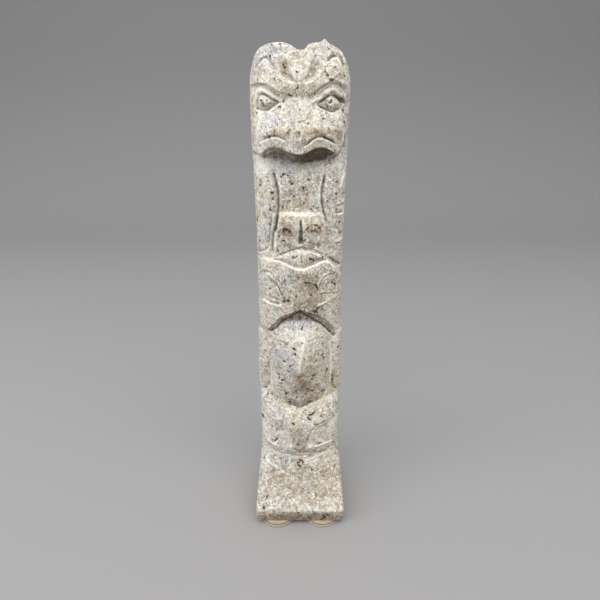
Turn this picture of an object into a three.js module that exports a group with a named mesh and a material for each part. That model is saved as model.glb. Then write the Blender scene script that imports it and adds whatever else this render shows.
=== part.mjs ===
// A small totem pole carved from one block of speckled stone, standing on four round felt pads.
// Millimetres, +Z up, the carved front faces -Y, the origin is on the ground under the middle.
//
// The stone is one closed skin: a net of columns round the block and rows up it. Every point of
// the net starts on the plain block, a post with rounded corners that flares into a slab. The
// carved forms then carry the front out or in, and the cut lines follow the surface itself.
import * as THREE from 'three';

// ---------- driving dimensions ----------

const HEIGHT = 280;        // ground to the highest lobe of the crown
const SHAFT_WIDTH = 52;    // across the great head
const SLAB_WIDTH = 56.6;   // across the foot of the block
const BACK = 30;           // the flat back lies this far behind the origin
const SHAFT_REACH = 5.5;   // the plain front of the shaft lies this far before the origin
const SLAB_REACH = 27.8;   // and the front face of the slab this far
const SLAB_EDGE = 14.6;    // level where the slab's rounded edge turns into the ramp
const FRONT_ROUND = 10.5;  // radius of the shaft's front corners
const SLAB_ROUND = 2.2;    // radius of the slab's front corners
const BACK_ROUND = 7;      // radius of the back corners
const CROWN_ROUND = 4;     // radius of the edge round the top
const FOOT_ROUND = 1.2;    // radius of the edge under the slab
const PAD = { radius: 11, thick: 3, across: 14.5, front: -19, back: 18.5, sides: 24 };

const STONE_COLOUR = 0xd3c9bb;
const FELT_COLOUR = 0xb39a80;

// ---------- curves and soft edges ----------

// A smooth curve through [position, value] points: it never overshoots and is level at both ends.
function smooth(points) {
  const last = points.length - 1;
  const rise = (i) => (points[i + 1][1] - points[i][1]) / (points[i + 1][0] - points[i][0]);
  const lean = points.map((_, i) => {
    if (i === 0 || i === last) return 0;
    const before = rise(i - 1);
    const after = rise(i);
    return before * after <= 0 ? 0 : (2 * before * after) / (before + after);
  });
  return (at) => {
    if (at <= points[0][0]) return points[0][1];
    if (at >= points[last][0]) return points[last][1];
    let i = 0;
    while (at > points[i + 1][0]) i += 1;
    const span = points[i + 1][0] - points[i][0];
    const t = (at - points[i][0]) / span;
    const keep = (1 + 2 * t) * (1 - t) ** 2;
    const tug = t * (1 - t) ** 2 * lean[i] - t * t * (1 - t) * lean[i + 1];
    return points[i][1] * keep + points[i + 1][1] * (1 - keep) + span * tug;
  };
}

const step = THREE.MathUtils.smoothstep;     // step(at, low, high)
const mix = THREE.MathUtils.lerp;
const cut = (distance, halfWidth) => Math.exp(-((distance / halfWidth) ** 2));
const within = (at, low, high, soft) => (
  step(at, low - soft, low + soft) * (1 - step(at, high - soft, high + soft))
);

// ---------- the plain block ----------

const halfWidth = smooth([
  [3, 27.9], [7, SLAB_WIDTH / 2], [15, 27.9], [25, 27.3], [35, 26.5], [46, 25.9], [73, 25.7],
  [116, 25.15], [143, 24.9], [185, 24.9], [217, 25.4], [235, 25.75], [252, SHAFT_WIDTH / 2], [264, 25.8],
  [280, 25.2],
]);

const plainReach = smooth([
  [10.8, SLAB_REACH], [13, 27.1], [SLAB_EDGE, 25.7], [21, 18.9], [26.5, 13.4], [31, 10.2],
  [36, 7.6], [41, 6.3], [50, SHAFT_REACH],
]);

const frontRound = smooth([[16, SLAB_ROUND], [45, FRONT_ROUND]]);

// ---------- edges that part the carved forms, as levels across the front ----------

const chinLine = smooth([[-20, 43.5], [-13, 41], [-8, 39.9], [0, 39.6], [10, 41.2], [20, 44]]);
const lowBrowTop = smooth([
  [-24.5, 87.4], [-21, 84.8], [-18, 82], [-12, 78.2], [-5, 75.7], [0, 74.4], [5, 76.6], [9, 79], [14, 81.4],
  [24.5, 85.4],
]);
const beakArch = smooth([
  [-24.5, 130.4], [-20, 129.2], [-15, 133], [-11, 137.8], [-6, 140.5], [1, 142.6], [4, 139.8], [8, 137.6],
  [12, 135.5], [16, 131.8], [20.5, 126.2], [24.5, 128.5],
]);
const middleHeadTop = smooth([
  [-24.5, 173.4], [-20, 173], [-15, 172.5], [-10, 171.3], [-5, 168.7], [0, 166.9], [5, 167.8], [10, 170.4],
  [14.5, 171.9], [17, 171.4], [19.5, 169.3], [24, 163],
]);
const tongueTop = smooth([
  [-14.5, 172.6], [-11, 173.7], [-5, 176.3], [1, 178.1], [6, 177.2], [10, 175.8], [13.9, 173],
]);
const jawUnder = smooth([
  [-24, 226.3], [-20, 225.5], [-10, 224.4], [0, 222.4], [8, 223.9], [16, 225.2], [19.5, 226.6],
  [22.5, 232.5], [25, 237],
]);
const mouthEdge = smooth([
  [-24, 227.8], [-20.5, 227.4], [-16, 230], [-12, 230.5], [-8, 229.6], [-4, 227.2], [0, 226.5], [3, 227.7],
  [7, 230], [10, 230.5], [13, 229.8], [18, 227.6], [20, 228.4], [22.5, 234], [25, 239],
]);
const browUnder = smooth([
  [-24.5, 259.5], [-18, 258.6], [-13, 256.8], [-8, 254.1], [0, 252.5], [5, 253.2], [8, 255.5], [12, 258],
  [16, 259.8], [19, 259], [23, 255.5],
]);
const browTop = smooth([
  [-14, 265.5], [-9, 262.4], [-5, 260.4], [0, 259.6], [5, 260.5], [8.5, 263], [14, 268],
]);
const crownLine = smooth([
  [-26, 266], [-24, 269.6], [-20.5, 275.6], [-15, 277.7], [-9, 278.5], [-5, 277.5], [-1, 275.2], [1.5, 275],
  [4.5, 277.8], [9, 278.9], [12.3, HEIGHT], [15, 277.6], [19, 275.4], [23, 270.8], [26, 265.6],
]);

// ---------- the carved forms, as reach before the origin ----------

// Lowest head: a face on its own broad brow, with a long leaf-shaped eye each side of the nose.
const lowHeadProfile = smooth([[39, 7], [43, 7.8], [50, 9], [58, 10.1], [64, 10.3], [90, 10.3]]);
const BROW = { fall: 14, deep: 4.6 };
const leafInner = smooth([
  [4.5, 45.4], [5.6, 50.8], [7.3, 56.3], [9.5, 60.3], [12.5, 63.2], [20, 66.8], [26, 68.6],
]);
const leafUnder = smooth([[4, 44.6], [9, 45.2], [14, 46.5], [20, 49], [26, 51.3]]);
const LEAF_SUNK = 2.6;
function lowHead(x, z) {
  const across = Math.abs(x);
  const rise = 1 - THREE.MathUtils.clamp((lowBrowTop(x) - z) / BROW.fall, 0, 1);
  const low = Math.max(0, z - leafUnder(across));
  const high = Math.max(0, leafInner(across) - z);
  const leaf = (low / (low + high + 0.1)) * step(Math.min(low, high), 0, 1.8) * step(across, 4, 6);
  return lowHeadProfile(z) - 1.2 * (x / 20) ** 2 - BROW.deep * rise ** 2 - LEAF_SUNK * leaf;
}

// Belly: an egg between two hanging arms.
const bellyHalf = smooth([
  [73, 2], [76, 7], [81, 12.5], [89, 17], [100, 18.2], [112, 18.8], [122, 18.6], [131, 17], [140, 14],
]);
const bellyCrest = smooth([
  [73, 4.4], [80, 6.2], [90, 9], [100, 11.3], [108, 12.6], [114, 12.7], [122, 11.4], [130, 9.2], [137, 7.4],
  [142, 6.6],
]);
const BELLY_GROUND = 4.2;
function belly(x, z) {
  const away = Math.min(1, Math.abs(x - 0.6) / bellyHalf(z));
  return BELLY_GROUND + (bellyCrest(z) - BELLY_GROUND) * (1 - away ** 1.9) ** 0.8;
}

// Middle head: a broad mask whose beak makes the arch over the belly.
const middleProfile = smooth([[126, 9.6], [140, 10.8], [152, 11.1], [162, 11.2], [167, 10.6], [173, 9.2]]);
// The hollow under the beak is shallow at its point and tall on both sides.
const archHollow = smooth([
  [-23, 1.6], [-15, 3.2], [-8, 2.2], [0, 1.6], [5, 2], [13, 3], [20, 3.2], [24, 1.6],
]);
function middleHead(x, z) {
  return middleProfile(z) - 1.6 * (x / 20) ** 2;
}

// Chest of the great bird: a sunk panel between folded wings, with a squared block below it.
const panelLeft = smooth([
  [174, -14.5], [180, -14], [186, -13], [192, -12.5], [198, -11.7], [206, -11.5], [212, -11.8], [219, -13.9],
]);
const panelRight = smooth([
  [176, 14.8], [184, 14.5], [190, 14.3], [195, 13.2], [199, 12], [204, 11], [208, 11], [213, 12], [219, 13.6],
]);
const chestProfile = smooth([[196, 5], [205, 6.2], [210, 6], [215, 5], [221, 3], [227, 2]]);
const wingProfile = smooth([[174, 5.6], [190, 6.8], [206, 7.1], [212, 6.8], [217, 5.4], [223, 3.2]]);
const BLOCK = { reach: 8.9, lean: 0.035, low: 195.2, high: 198, round: 1.3 };
const SPLIT = { x: 0.5, low: 181, high: 193.5, half: 0.95, deep: 1.4 };
function chest(x, z) {
  const panel = step(x - panelLeft(z), -0.3, 1.2) * (1 - step(x - panelRight(z), -1.2, 0.3));
  const edge = BLOCK.round * step(z, BLOCK.low - 8, BLOCK.low + 2);
  const block = BLOCK.reach - 0.5 * (x / 12) ** 2 - BLOCK.lean * (BLOCK.low - z) - edge;
  const front = mix(block, chestProfile(z), step(z, BLOCK.low, BLOCK.high));
  const split = cut(x - SPLIT.x, SPLIT.half) * within(z, SPLIT.low, SPLIT.high, 0.8);
  const edges = cut(x - panelLeft(z), 0.9) + cut(x - panelRight(z), 0.9);
  return mix(wingProfile(z), front, panel) - SPLIT.deep * split - 1.2 * edges * step(z, 170, 176);
}

// Tongue: a small lens held between the block and the middle head.
const TONGUE = { half: 14.2, reach: 7.4, swell: 2.1 };
function tongue(x, z) {
  const low = middleHeadTop(x);
  const high = tongueTop(x);
  const up = THREE.MathUtils.clamp((z - low) / Math.max(0.5, high - low), 0, 1);
  const slit = 0.8 * cut(x - 0.7, 0.6) * within(z, 168.5, 173, 0.5);
  const swell = TONGUE.swell * Math.sqrt(4 * up * (1 - up)) * (1 - (x / 15) ** 4);
  return TONGUE.reach + swell - slit;
}

// Great head: a short broad beak under heavy brows, and a notched crown that leans back.
const headProfile = smooth([
  [222, 13.4], [230, 14.4], [236, 15], [240, 14], [246, 11.2], [250, 9.4], [253, 8.4], [257, 7.8],
]);
const crownProfile = smooth([[251, 9.6], [257, 10.7], [262, 9.6], [270, 6.8], [280, 2.6]]);
const lipFold = smooth([
  [-20.5, 232], [-15.5, 234.9], [-12, 235.3], [-8, 234], [-3.5, 230.2], [0, 229], [2.5, 230.8], [7, 234.4],
  [10, 235], [13, 234.6], [16, 233], [20, 231.4], [22.5, 236.5], [25, 242],
]);
function greatHead(x, z) {
  const across = Math.abs(x);
  const socket = 0.9 * cut(across - 15.5, 7) * cut(z - 251, 6);
  const fold = 0.9 * cut(z - lipFold(x), 0.8) * step(across, 1, 6) * (1 - step(across, 18, 21));
  const temple = 3.4 * step(x, 20.5, 24) + 1.6 * step(-x, 21, 24.5);
  const bridge = 1.8 * (1 - step(across, 2, 9)) * step(z, 242, 254) + temple * step(z, 248, 257);
  const beak = headProfile(z) - 1.4 * (x / 20) ** 2 - socket - fold + bridge;
  const wedgeHalf = 0.6 * (z - 260);
  const wedge = 1 - step(Math.abs(x - 0.3) - wedgeHalf, -0.8, 1.6);
  const sunk = step(z - browTop(x), -0.4, 1.4) * (1 - step(z, 269, 274)) * (1 - step(across, 9, 13));
  const crown = crownProfile(z) - 1.5 * sunk * (1 - wedge) - 0.8 * (x / 20) ** 2;
  return mix(beak, crown, step(z - browUnder(x), -1.2, 0.6));
}

function frontReach(x, z) {
  let reach = mix(plainReach(z), lowHead(x, z), step(z - chinLine(x), -0.6, 1.4));
  reach = mix(reach, belly(x, z), step(z - lowBrowTop(x), -1.6, 0.4));
  reach = mix(reach, middleHead(x, z), step(z - beakArch(x), -archHollow(x), 0.3));
  const overTongue = Math.abs(x) < TONGUE.half ? step(z - tongueTop(x), -0.4, 0.5) : 1;
  reach = mix(reach, mix(tongue(x, z), chest(x, z), overTongue), step(z - middleHeadTop(x), -1.6, 0.5));
  return mix(reach, greatHead(x, z), step(z, jawUnder(x), mouthEdge(x) + 0.4));
}

// ---------- smaller cuts, as height above the surface they are cut in ----------

// An almond eye: a low mound inside a groove, with its long axis at a tilt.
function almond(x, z, eye) {
  const along = (x - eye.x) * Math.cos(eye.tilt) + (z - eye.z) * Math.sin(eye.tilt);
  const over = (z - eye.z) * Math.cos(eye.tilt) - (x - eye.x) * Math.sin(eye.tilt);
  const taper = 1 - (along / eye.half) ** 2;
  const inside = Math.min(eye.up * taper - over, over + eye.down * taper);
  const mound = eye.swell * step(inside, 0, 2.2);
  return Math.abs(along) > eye.half * 1.3 ? 0 : mound - eye.deep * cut(inside, 0.9);
}
const EYES = [
  { x: 14.8, z: 250.4, half: 6.6, up: 3.7, down: 3, tilt: 0.06, swell: 0.7, deep: 1.1 },
  { x: -15.6, z: 250.8, half: 6.4, up: 3.5, down: 3, tilt: -0.08, swell: 0.7, deep: 1 },
  { x: 17.2, z: 158, half: 6.4, up: 5.2, down: 4.6, tilt: 0.35, swell: 0.6, deep: 0.6 },
  { x: -18.4, z: 158.3, half: 6.4, up: 5.4, down: 4.8, tilt: -0.35, swell: 0.6, deep: 0.6 },
];

// Ears: a small raised triangle on each lobe of the crown.
const EARS = [{ x: -16.4, z: 265.6, half: 4.8, tall: 5.6 }, { x: 17.6, z: 265.2, half: 4.6, tall: 6 }];
function ear(x, z, { x: middle, z: foot, half, tall }) {
  const up = (z - foot) / tall;
  const inside = Math.min((half * (1 - up) - Math.abs(x - middle)) * 0.75, (z - foot) * 1.2);
  return up > 1.4 || up < -0.3 ? 0 : 0.8 * step(inside, -0.2, 1.2) - 0.6 * cut(inside + 0.5, 0.8);
}

// Hanging arms on the front corners beside the belly, each with a rounded hand.
const ARM = { inner: 19.6, hand: 86, top: 126, swell: 0.9 };
function arm(x, z) {
  const edge = ARM.inner - 0.6 + 1.6 * cut(z - ARM.hand, 4);
  return ARM.swell * step(Math.abs(x), edge, edge + 1.8) * within(z, ARM.hand, ARM.top, 1.4);
}

// Flanks: three long feathers of the folded wing, and the bent leg beside the belly.
const FEATHERS = [{ y: 7, lean: 0.05 }, { y: 13, lean: 0.1 }, { y: 19, lean: 0.16 }];
function flank(y, z) {
  let height = 0;
  for (const feather of FEATHERS) {
    const line = feather.y + feather.lean * (216 - z);
    height -= 0.7 * cut(y - line, 1.3) * within(z, 176, 216, 2);
  }
  const knee = Math.hypot((y - 11) / 8, (z - 101) / 13);
  height += 0.9 * (1 - step(knee, 0.75, 1.05));
  return height * step(y, 4, 8) * (1 - step(y, BACK - BACK_ROUND - 3, BACK - BACK_ROUND));
}

function surfaceHeight(x, y, z) {
  let height = 0;
  if (z > 140 && z < 260) for (const eye of EYES) height += almond(x, z, eye);
  if (z > 260) for (const one of EARS) height += ear(x, z, one);
  height += arm(x, z);
  return height * (1 - step(y, 2, 6)) + flank(y, z);
}

// ---------- the net: columns round the block ----------

// Steps of one half, from the middle of the front round to the middle of the back.
const ROUTE = [['face', 11], ['frontCorner', 5], ['side', 3], ['backCorner', 2], ['rear', 1]];
const HALF_COLUMNS = ROUTE.reduce((sum, [, steps]) => sum + steps, 0);

// The point of the plain block's outline at one column and level, and the way it faces.
function outline(column, z) {
  const hand = column < 0 ? -1 : 1;
  const half = halfWidth(z);
  const front = -plainReach(z);
  const round = frontRound(z);
  let left = Math.abs(column);
  let leg = 0;
  while (left > ROUTE[leg][1]) {
    left -= ROUTE[leg][1];
    leg += 1;
  }
  const part = left / ROUTE[leg][1];
  const turn = (part * Math.PI) / 2;
  const at = (x, y, facing) => ({ x: hand * x, y, nx: hand * Math.sin(facing), ny: -Math.cos(facing) });
  switch (ROUTE[leg][0]) {
    case 'face': return at(part * (half - round), front, 0);
    case 'frontCorner': return at(
      half - round * (1 - Math.sin(turn)), front + round * (1 - Math.cos(turn)), turn);
    case 'side': return at(half, mix(front + round, BACK - BACK_ROUND, part), Math.PI / 2);
    case 'backCorner': return at(
      half - BACK_ROUND * (1 - Math.cos(turn)), BACK - BACK_ROUND * (1 - Math.sin(turn)), Math.PI / 2 + turn);
    default: return at((1 - part) * (half - BACK_ROUND), BACK, Math.PI);
  }
}

// A point of the carved skin at one column and level.
function carved(column, z) {
  const plain = outline(column, z);
  const forward = Math.max(0, -plain.ny);
  const carry = (frontReach(plain.x, z) - plainReach(z)) * forward;
  const lift = surfaceHeight(plain.x, plain.y, z) * (plain.ny > 0.5 ? 0 : 1);
  return new THREE.Vector3(plain.x + plain.nx * lift, plain.y - carry + plain.ny * lift, z);
}

// ---------- the net: rows up the block ----------

// Bands of rows from the ground up: the line across the front that ends each band, and its rows.
// The lines follow the carved edges, so that every edge falls on a row of its own.
const level = (height) => () => height;
const beside = (line, offset) => (x) => line(x) + offset;
const BANDS = [
  [level(7), 1], [level(10.8), 1], [level(SLAB_EDGE), 2],
  [beside(chinLine, -0.6), 6], [beside(chinLine, 1.4), 2],
  [beside(lowBrowTop, -1.6), 11], [beside(lowBrowTop, 0.4), 2],
  [(x) => beakArch(x) - archHollow(x), 13], [beside(beakArch, 0.3), 3],
  [beside(middleHeadTop, -1.6), 10], [beside(middleHeadTop, 0.5), 2],
  [(x) => Math.max(tongueTop(x), middleHeadTop(x) + 2) + 0.5, 4],
  [level(BLOCK.low), 5], [level(BLOCK.high), 2],
  [jawUnder, 6], [beside(mouthEdge, 0.4), 3], [beside(lipFold, 1.2), 3],
  [level(246), 4], [beside(browUnder, -1.2), 6], [beside(browUnder, 0.6), 2],
];
const BODY_FOOT = PAD.thick + FOOT_ROUND;
const bodyRows = [level(BODY_FOOT)];
for (const [top, count] of BANDS) {
  const from = bodyRows[bodyRows.length - 1];
  for (let row = 1; row <= count; row += 1) bodyRows.push((x) => mix(from(x), top(x), row / count));
}
const browRow = bodyRows[bodyRows.length - 1];
const CROWN_ROWS = 8;      // from the brow to the rounded edge
const ROUND_ROWS = 3;      // over the rounded edge
const LID_ROWS = 4;        // from the rounded edge to the middle of the top
const FOOT_ROWS = 3;       // under the slab

const AXIS_Y = 13;         // the top and the underside close on this line
const backLevel = (x) => 274.5 - 4 * (x / 22) ** 4;

// The top of the crown: the lobes and the notch run back and fade into a plain, slightly lower top.
function crownTop(x, y) {
  return mix(crownLine(x), backLevel(x), step(y, 4, 20));
}

// A point of the skin between the foot and the brow, where a row's level is read across the front.
function bodyPoint(column, row) {
  const line = bodyRows[row];
  return carved(column, line(outline(column, line(0)).x));
}

// The skin above the brow: up to the edge round the top, over that edge, and in to the middle.
function crownPoint(column, row) {
  const rim = outline(column, browRow(0));
  const rimTop = crownTop(rim.x, rim.y) - CROWN_ROUND;
  if (row <= CROWN_ROWS) return carved(column, mix(browRow(rim.x), rimTop, row / CROWN_ROWS));
  const edge = carved(column, rimTop);
  const turn = (Math.min(1, (row - CROWN_ROWS) / ROUND_ROWS) * Math.PI) / 2;
  const inward = CROWN_ROUND * (1 - Math.cos(turn));
  const reach = Math.hypot(edge.x, edge.y - AXIS_Y);
  const lid = Math.max(0, (row - CROWN_ROWS - ROUND_ROWS) / LID_ROWS);
  const keep = (1 - inward / reach) * (1 - lid);
  const x = edge.x * keep;
  const y = AXIS_Y + (edge.y - AXIS_Y) * keep;
  return new THREE.Vector3(x, y, crownTop(x, y) - CROWN_ROUND * (1 - Math.sin(turn)));
}

// The edge under the slab and the flat underside.
function footPoint(column, row) {
  if (row === 0) return new THREE.Vector3(0, AXIS_Y, PAD.thick);
  const edge = carved(column, BODY_FOOT);
  const turn = ((FOOT_ROWS - row) / (FOOT_ROWS - 1)) * (Math.PI / 2);
  const keep = 1 - (FOOT_ROUND * (1 - Math.cos(turn))) / Math.hypot(edge.x, edge.y - AXIS_Y);
  const drop = FOOT_ROUND * Math.sin(turn);
  return new THREE.Vector3(edge.x * keep, AXIS_Y + (edge.y - AXIS_Y) * keep, BODY_FOOT - drop);
}

// The net is a globe's: its rows run from the pole on top to the pole underneath.
function stoneGeometry() {
  const rows = FOOT_ROWS + (bodyRows.length - 1) + CROWN_ROWS + ROUND_ROWS + LID_ROWS;
  const columns = 2 * HALF_COLUMNS;
  const geometry = new THREE.SphereGeometry(1, columns, rows);
  const position = geometry.getAttribute('position');
  for (let index = 0; index < position.count; index += 1) {
    const column = (index % (columns + 1)) % columns - HALF_COLUMNS;
    const row = rows - Math.floor(index / (columns + 1));
    let point;
    if (row < FOOT_ROWS) point = footPoint(column, row);
    else if (row < FOOT_ROWS + bodyRows.length) point = bodyPoint(column, row - FOOT_ROWS);
    else point = crownPoint(column, row - FOOT_ROWS - bodyRows.length + 1);
    position.setXYZ(index, point.x, point.y, point.z);
  }
  return geometry;
}

// ---------- the parts ----------

const totemPole = new THREE.Group();

const stone = new THREE.MeshStandardMaterial({ color: STONE_COLOUR, roughness: 0.7, metalness: 0 });
const totem = new THREE.Mesh(stoneGeometry(), stone);
totem.name = 'totem';
totemPole.add(totem);

// Round felt pads stuck under the slab, two at the front and two at the back.
for (const [end, y] of [['front', PAD.front], ['back', PAD.back]]) {
  for (const [hand, x] of [['left', -PAD.across], ['right', PAD.across]]) {
    const felt = new THREE.MeshStandardMaterial({ color: FELT_COLOUR, roughness: 0.95, metalness: 0 });
    const disc = new THREE.CylinderGeometry(PAD.radius, PAD.radius, PAD.thick, PAD.sides);
    const pad = new THREE.Mesh(disc, felt);
    pad.name = `pad_${end}_${hand}`;
    pad.rotation.x = Math.PI / 2;
    pad.position.set(x, y, PAD.thick / 2);
    totemPole.add(pad);
  }
}

export default totemPole;
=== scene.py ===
"""A small totem pole carved from one block of pale speckled stone, on four round felt pads."""
import math

import bmesh
import bpy
import numpy as np
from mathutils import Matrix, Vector, noise


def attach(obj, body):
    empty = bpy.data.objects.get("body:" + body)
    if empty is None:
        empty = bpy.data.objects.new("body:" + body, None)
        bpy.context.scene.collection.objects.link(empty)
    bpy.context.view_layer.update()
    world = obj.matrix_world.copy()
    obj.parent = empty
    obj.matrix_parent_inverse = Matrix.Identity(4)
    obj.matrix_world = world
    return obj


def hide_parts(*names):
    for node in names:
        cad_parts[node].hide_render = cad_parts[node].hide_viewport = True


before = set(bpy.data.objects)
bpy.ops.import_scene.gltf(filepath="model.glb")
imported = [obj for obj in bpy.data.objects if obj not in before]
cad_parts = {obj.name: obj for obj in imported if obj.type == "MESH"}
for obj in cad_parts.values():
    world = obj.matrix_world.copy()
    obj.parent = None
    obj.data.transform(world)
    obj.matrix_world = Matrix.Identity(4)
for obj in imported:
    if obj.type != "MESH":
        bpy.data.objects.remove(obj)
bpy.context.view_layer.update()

# ======================================================================================
# Camera: held a little above the head, close to the pole, tipped down to the table.
# ======================================================================================

camera_data = bpy.data.cameras.new("camera")
camera_data.sensor_width = 36
camera_data.lens = 26.4
camera_data.clip_start = 0.01
camera = bpy.data.objects.new("camera", camera_data)
camera.location = (0, -0.2452, 0.2338)
camera.rotation_euler = (math.radians(70), 0, 0)
bpy.context.collection.objects.link(camera)
bpy.context.scene.camera = camera

# ======================================================================================
# Table and light: a plain pale sweep under a broad soft ceiling light, with a window's light
# from the left and a little from the room all round.
# ======================================================================================


def srgb(red, green, blue):
    """A colour read off a 0 to 255 scale, as the shader wants it."""
    scaled = [part / 255 for part in (red, green, blue)]
    return tuple(c / 12.92 if c <= 0.04045 else ((c + 0.055) / 1.055) ** 2.4 for c in scaled)


def coloured(name, colour, roughness):
    """A new material with a plain Principled shader, and the shader itself."""
    material = bpy.data.materials.new(name)
    material.use_nodes = True
    shader = material.node_tree.nodes["Principled BSDF"]
    shader.inputs["Base Color"].default_value = (*colour, 1)
    shader.inputs["Roughness"].default_value = roughness
    return material, shader


# The sweep is one sheet, three times as broad as it is deep: flat under the pole, then bent up
# to a wall far behind it.
sweep = bmesh.new()
bmesh.ops.create_grid(sweep, x_segments=1, y_segments=48, size=2.4)
BEND_START, BEND_RADIUS = 0.9, 0.5
BROAD = 3
for vertex in sweep.verts:
    vertex.co.x *= BROAD
    past = vertex.co.y - BEND_START
    if past > 0:
        turn = min(past / BEND_RADIUS, math.pi / 2)
        rise = max(0, past - BEND_RADIUS * math.pi / 2)
        vertex.co.y = BEND_START + BEND_RADIUS * math.sin(turn)
        vertex.co.z = BEND_RADIUS * (1 - math.cos(turn)) + rise
floor_data = bpy.data.meshes.new("floor")
sweep.to_mesh(floor_data)
sweep.free()
floor_data.shade_smooth()
floor = bpy.data.objects.new("floor", floor_data)
floor_data.materials.append(coloured("pale_floor", srgb(164, 162, 160), 0.85)[0])
bpy.context.collection.objects.link(floor)


def soft_lamp(name, place, aim, size, power):
    """An area lamp, so wide and so deep, that points from its place at a target."""
    lamp = bpy.data.lights.new(name, "AREA")
    lamp.shape = "RECTANGLE"
    lamp.size, lamp.size_y = size
    lamp.energy = power
    holder = bpy.data.objects.new(name, lamp)
    holder.location = place
    holder.visible_camera = False
    holder.rotation_euler = (Vector(aim) - Vector(place)).to_track_quat("-Z", "Y").to_euler()
    bpy.context.collection.objects.link(holder)


soft_lamp("ceiling_light", (0.0, -0.5, 0.95), (0, 0, 0.16), (1.7, 0.8), 8.2)
soft_lamp("window_light", (-1.3, -0.5, 0.7), (0, 0, 0.14), (0.7, 0.7), 5)
world = bpy.data.worlds.new("room")
world.use_nodes = True
sky = world.node_tree.nodes
up = sky.new("ShaderNodeSeparateXYZ")
world.node_tree.links.new(sky.new("ShaderNodeTexCoord").outputs["Generated"], up.inputs[0])
rising = sky.new("ShaderNodeMapRange")
rising.inputs["From Min"].default_value = 0
rising.inputs["From Max"].default_value = 1
rising.inputs["To Min"].default_value = 0.3
rising.inputs["To Max"].default_value = 0.95
world.node_tree.links.new(up.outputs["Z"], rising.inputs["Value"])
world.node_tree.links.new(rising.outputs[0], sky["Background"].inputs["Strength"])
sky["Background"].inputs["Color"].default_value = (0.93, 0.95, 1.0, 1)
bpy.context.scene.world = world
bpy.context.scene.view_settings.view_transform = "Standard"

# ======================================================================================
# The stone: one block, sawn to a post on a flared slab, carved with round-ended chisels and
# rubbed to a satin finish. The front is worked all over, the flanks carry plain wings and
# legs, and the back is left flat. Its sizes are in millimetres.
# ======================================================================================

MM = 0.001
SLAB_WIDTH = 56.5
BACK = 29.9
SHAFT_REACH = 5.5
SLAB_REACH = 27.75
SLAB_EDGE = 14.6
FRONT_ROUND = 10.5
SLAB_ROUND = 2.2
BACK_ROUND = 7
CROWN_ROUND = 4
FOOT_ROUND = 1.2
UNDERSIDE = 3.0
AXIS_Y = 13.0


def smooth(points):
    """A curve through (position, value) points that never overshoots and is level at both ends."""
    at = np.array([p[0] for p in points], float)
    value = np.array([p[1] for p in points], float)
    rise = np.diff(value) / np.diff(at)
    lean = np.zeros(len(at))
    same = rise[:-1] * rise[1:] > 0
    lean[1:-1][same] = (2 * rise[:-1] * rise[1:])[same] / (rise[:-1] + rise[1:])[same]

    def curve(where):
        where = np.clip(where, at[0], at[-1])
        i = np.clip(np.searchsorted(at, where) - 1, 0, len(at) - 2)
        span = at[i + 1] - at[i]
        t = (where - at[i]) / span
        keep = (1 + 2 * t) * (1 - t) ** 2
        tug = t * (1 - t) ** 2 * lean[i] - t * t * (1 - t) * lean[i + 1]
        return value[i] * keep + value[i + 1] * (1 - keep) + span * tug
    return curve


def step(at, low, high):
    """0 below low, 1 above high, with a soft ramp between."""
    t = np.clip((at - low) / (high - low), 0, 1)
    return t * t * (3 - 2 * t)


def cove(at, low, high):
    """0 below low, then hollowed out like a cove to a sharp lip, 1 above high."""
    t = np.clip((at - low) / (high - low), 0, 1)
    return 1 - np.sqrt(1 - t * t)


def mix(a, b, share):
    return a + (b - a) * share


def cut(distance, half_width):
    """The round-bottomed profile of a chisel line, 1 on its middle."""
    return np.exp(-((distance / half_width) ** 2))


def within(at, low, high, soft):
    return step(at, low - soft, low + soft) * (1 - step(at, high - soft, high + soft))


def lean_of(line, x):
    return (line(x + 0.3) - line(x - 0.3)) / 0.6


def above(line, x, z):
    """How far a place lies above a line across the front, measured square to the line."""
    return (z - line(x)) / np.hypot(1, lean_of(line, x))


def lens(x, z, upper, lower):
    """How far a place lies inside the almond between two lines."""
    return np.minimum(-above(upper, x, z), above(lower, x, z))


# ---- the plain block ----

half_width = smooth([
    (3, 27.85), (7, SLAB_WIDTH / 2), (15, 27.9), (25, 27.3), (35, 26.5), (46, 25.9), (73, 25.7),
    (116, 25.15), (143, 24.9), (185, 24.9), (217, 25.4), (235, 25.75), (252, 26), (264, 25.8), (280, 25.2)])
plain_reach = smooth([
    (4, 27.5), (10.8, SLAB_REACH), (13, 27.1), (SLAB_EDGE, 25.7), (21, 18.9), (26.5, 13.4), (31, 10.2),
    (36, 7.6), (41, 6.3), (50, SHAFT_REACH)])
front_round = smooth([(16, SLAB_ROUND), (45, FRONT_ROUND)])

# ---- the lowest head: a broad brow and nose between two long leaf-shaped eyes ----

chin_line = smooth([
    (-20, 43), (-13, 40.4), (-8, 39.1), (0, 38.5), (5, 38.8), (10, 39.8), (15, 41.4), (20, 43.8)])
low_brow_top = smooth([
    (-24.5, 86.6), (-21, 84), (-18, 81.1), (-12, 77.1), (-5, 74.3), (0, 73), (5, 74.9), (9, 77.1),
    (14, 79.7), (18, 82.2), (21, 83.3), (24.5, 83.6)])
low_head_profile = smooth([
    (39, 7), (43, 7.8), (50, 9), (58, 10.1), (64, 10.3), (90, 10.3)])
BROW_FALL = 14
LEAF_SUNK = 3
LEAVES = (
    (-1,
     smooth([(4.5, 45.4), (5.5, 50.8), (7, 56.2), (9, 60.6), (12, 64.2), (16, 66.6), (20, 68), (26, 69.5)]),
     smooth([(4, 44.6), (9, 45.2), (13, 46), (16, 47), (20, 48.8), (26, 51.4)])),
    (1,
     smooth([
         (4.6, 45.6), (5.6, 50.8), (7.6, 56.4), (10, 60), (13, 62.2), (16, 63.8), (20, 65.6), (26, 67.6)]),
     smooth([(4, 44.6), (9, 45.3), (14, 47), (20, 49.2), (26, 51.2)])),
)
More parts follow.
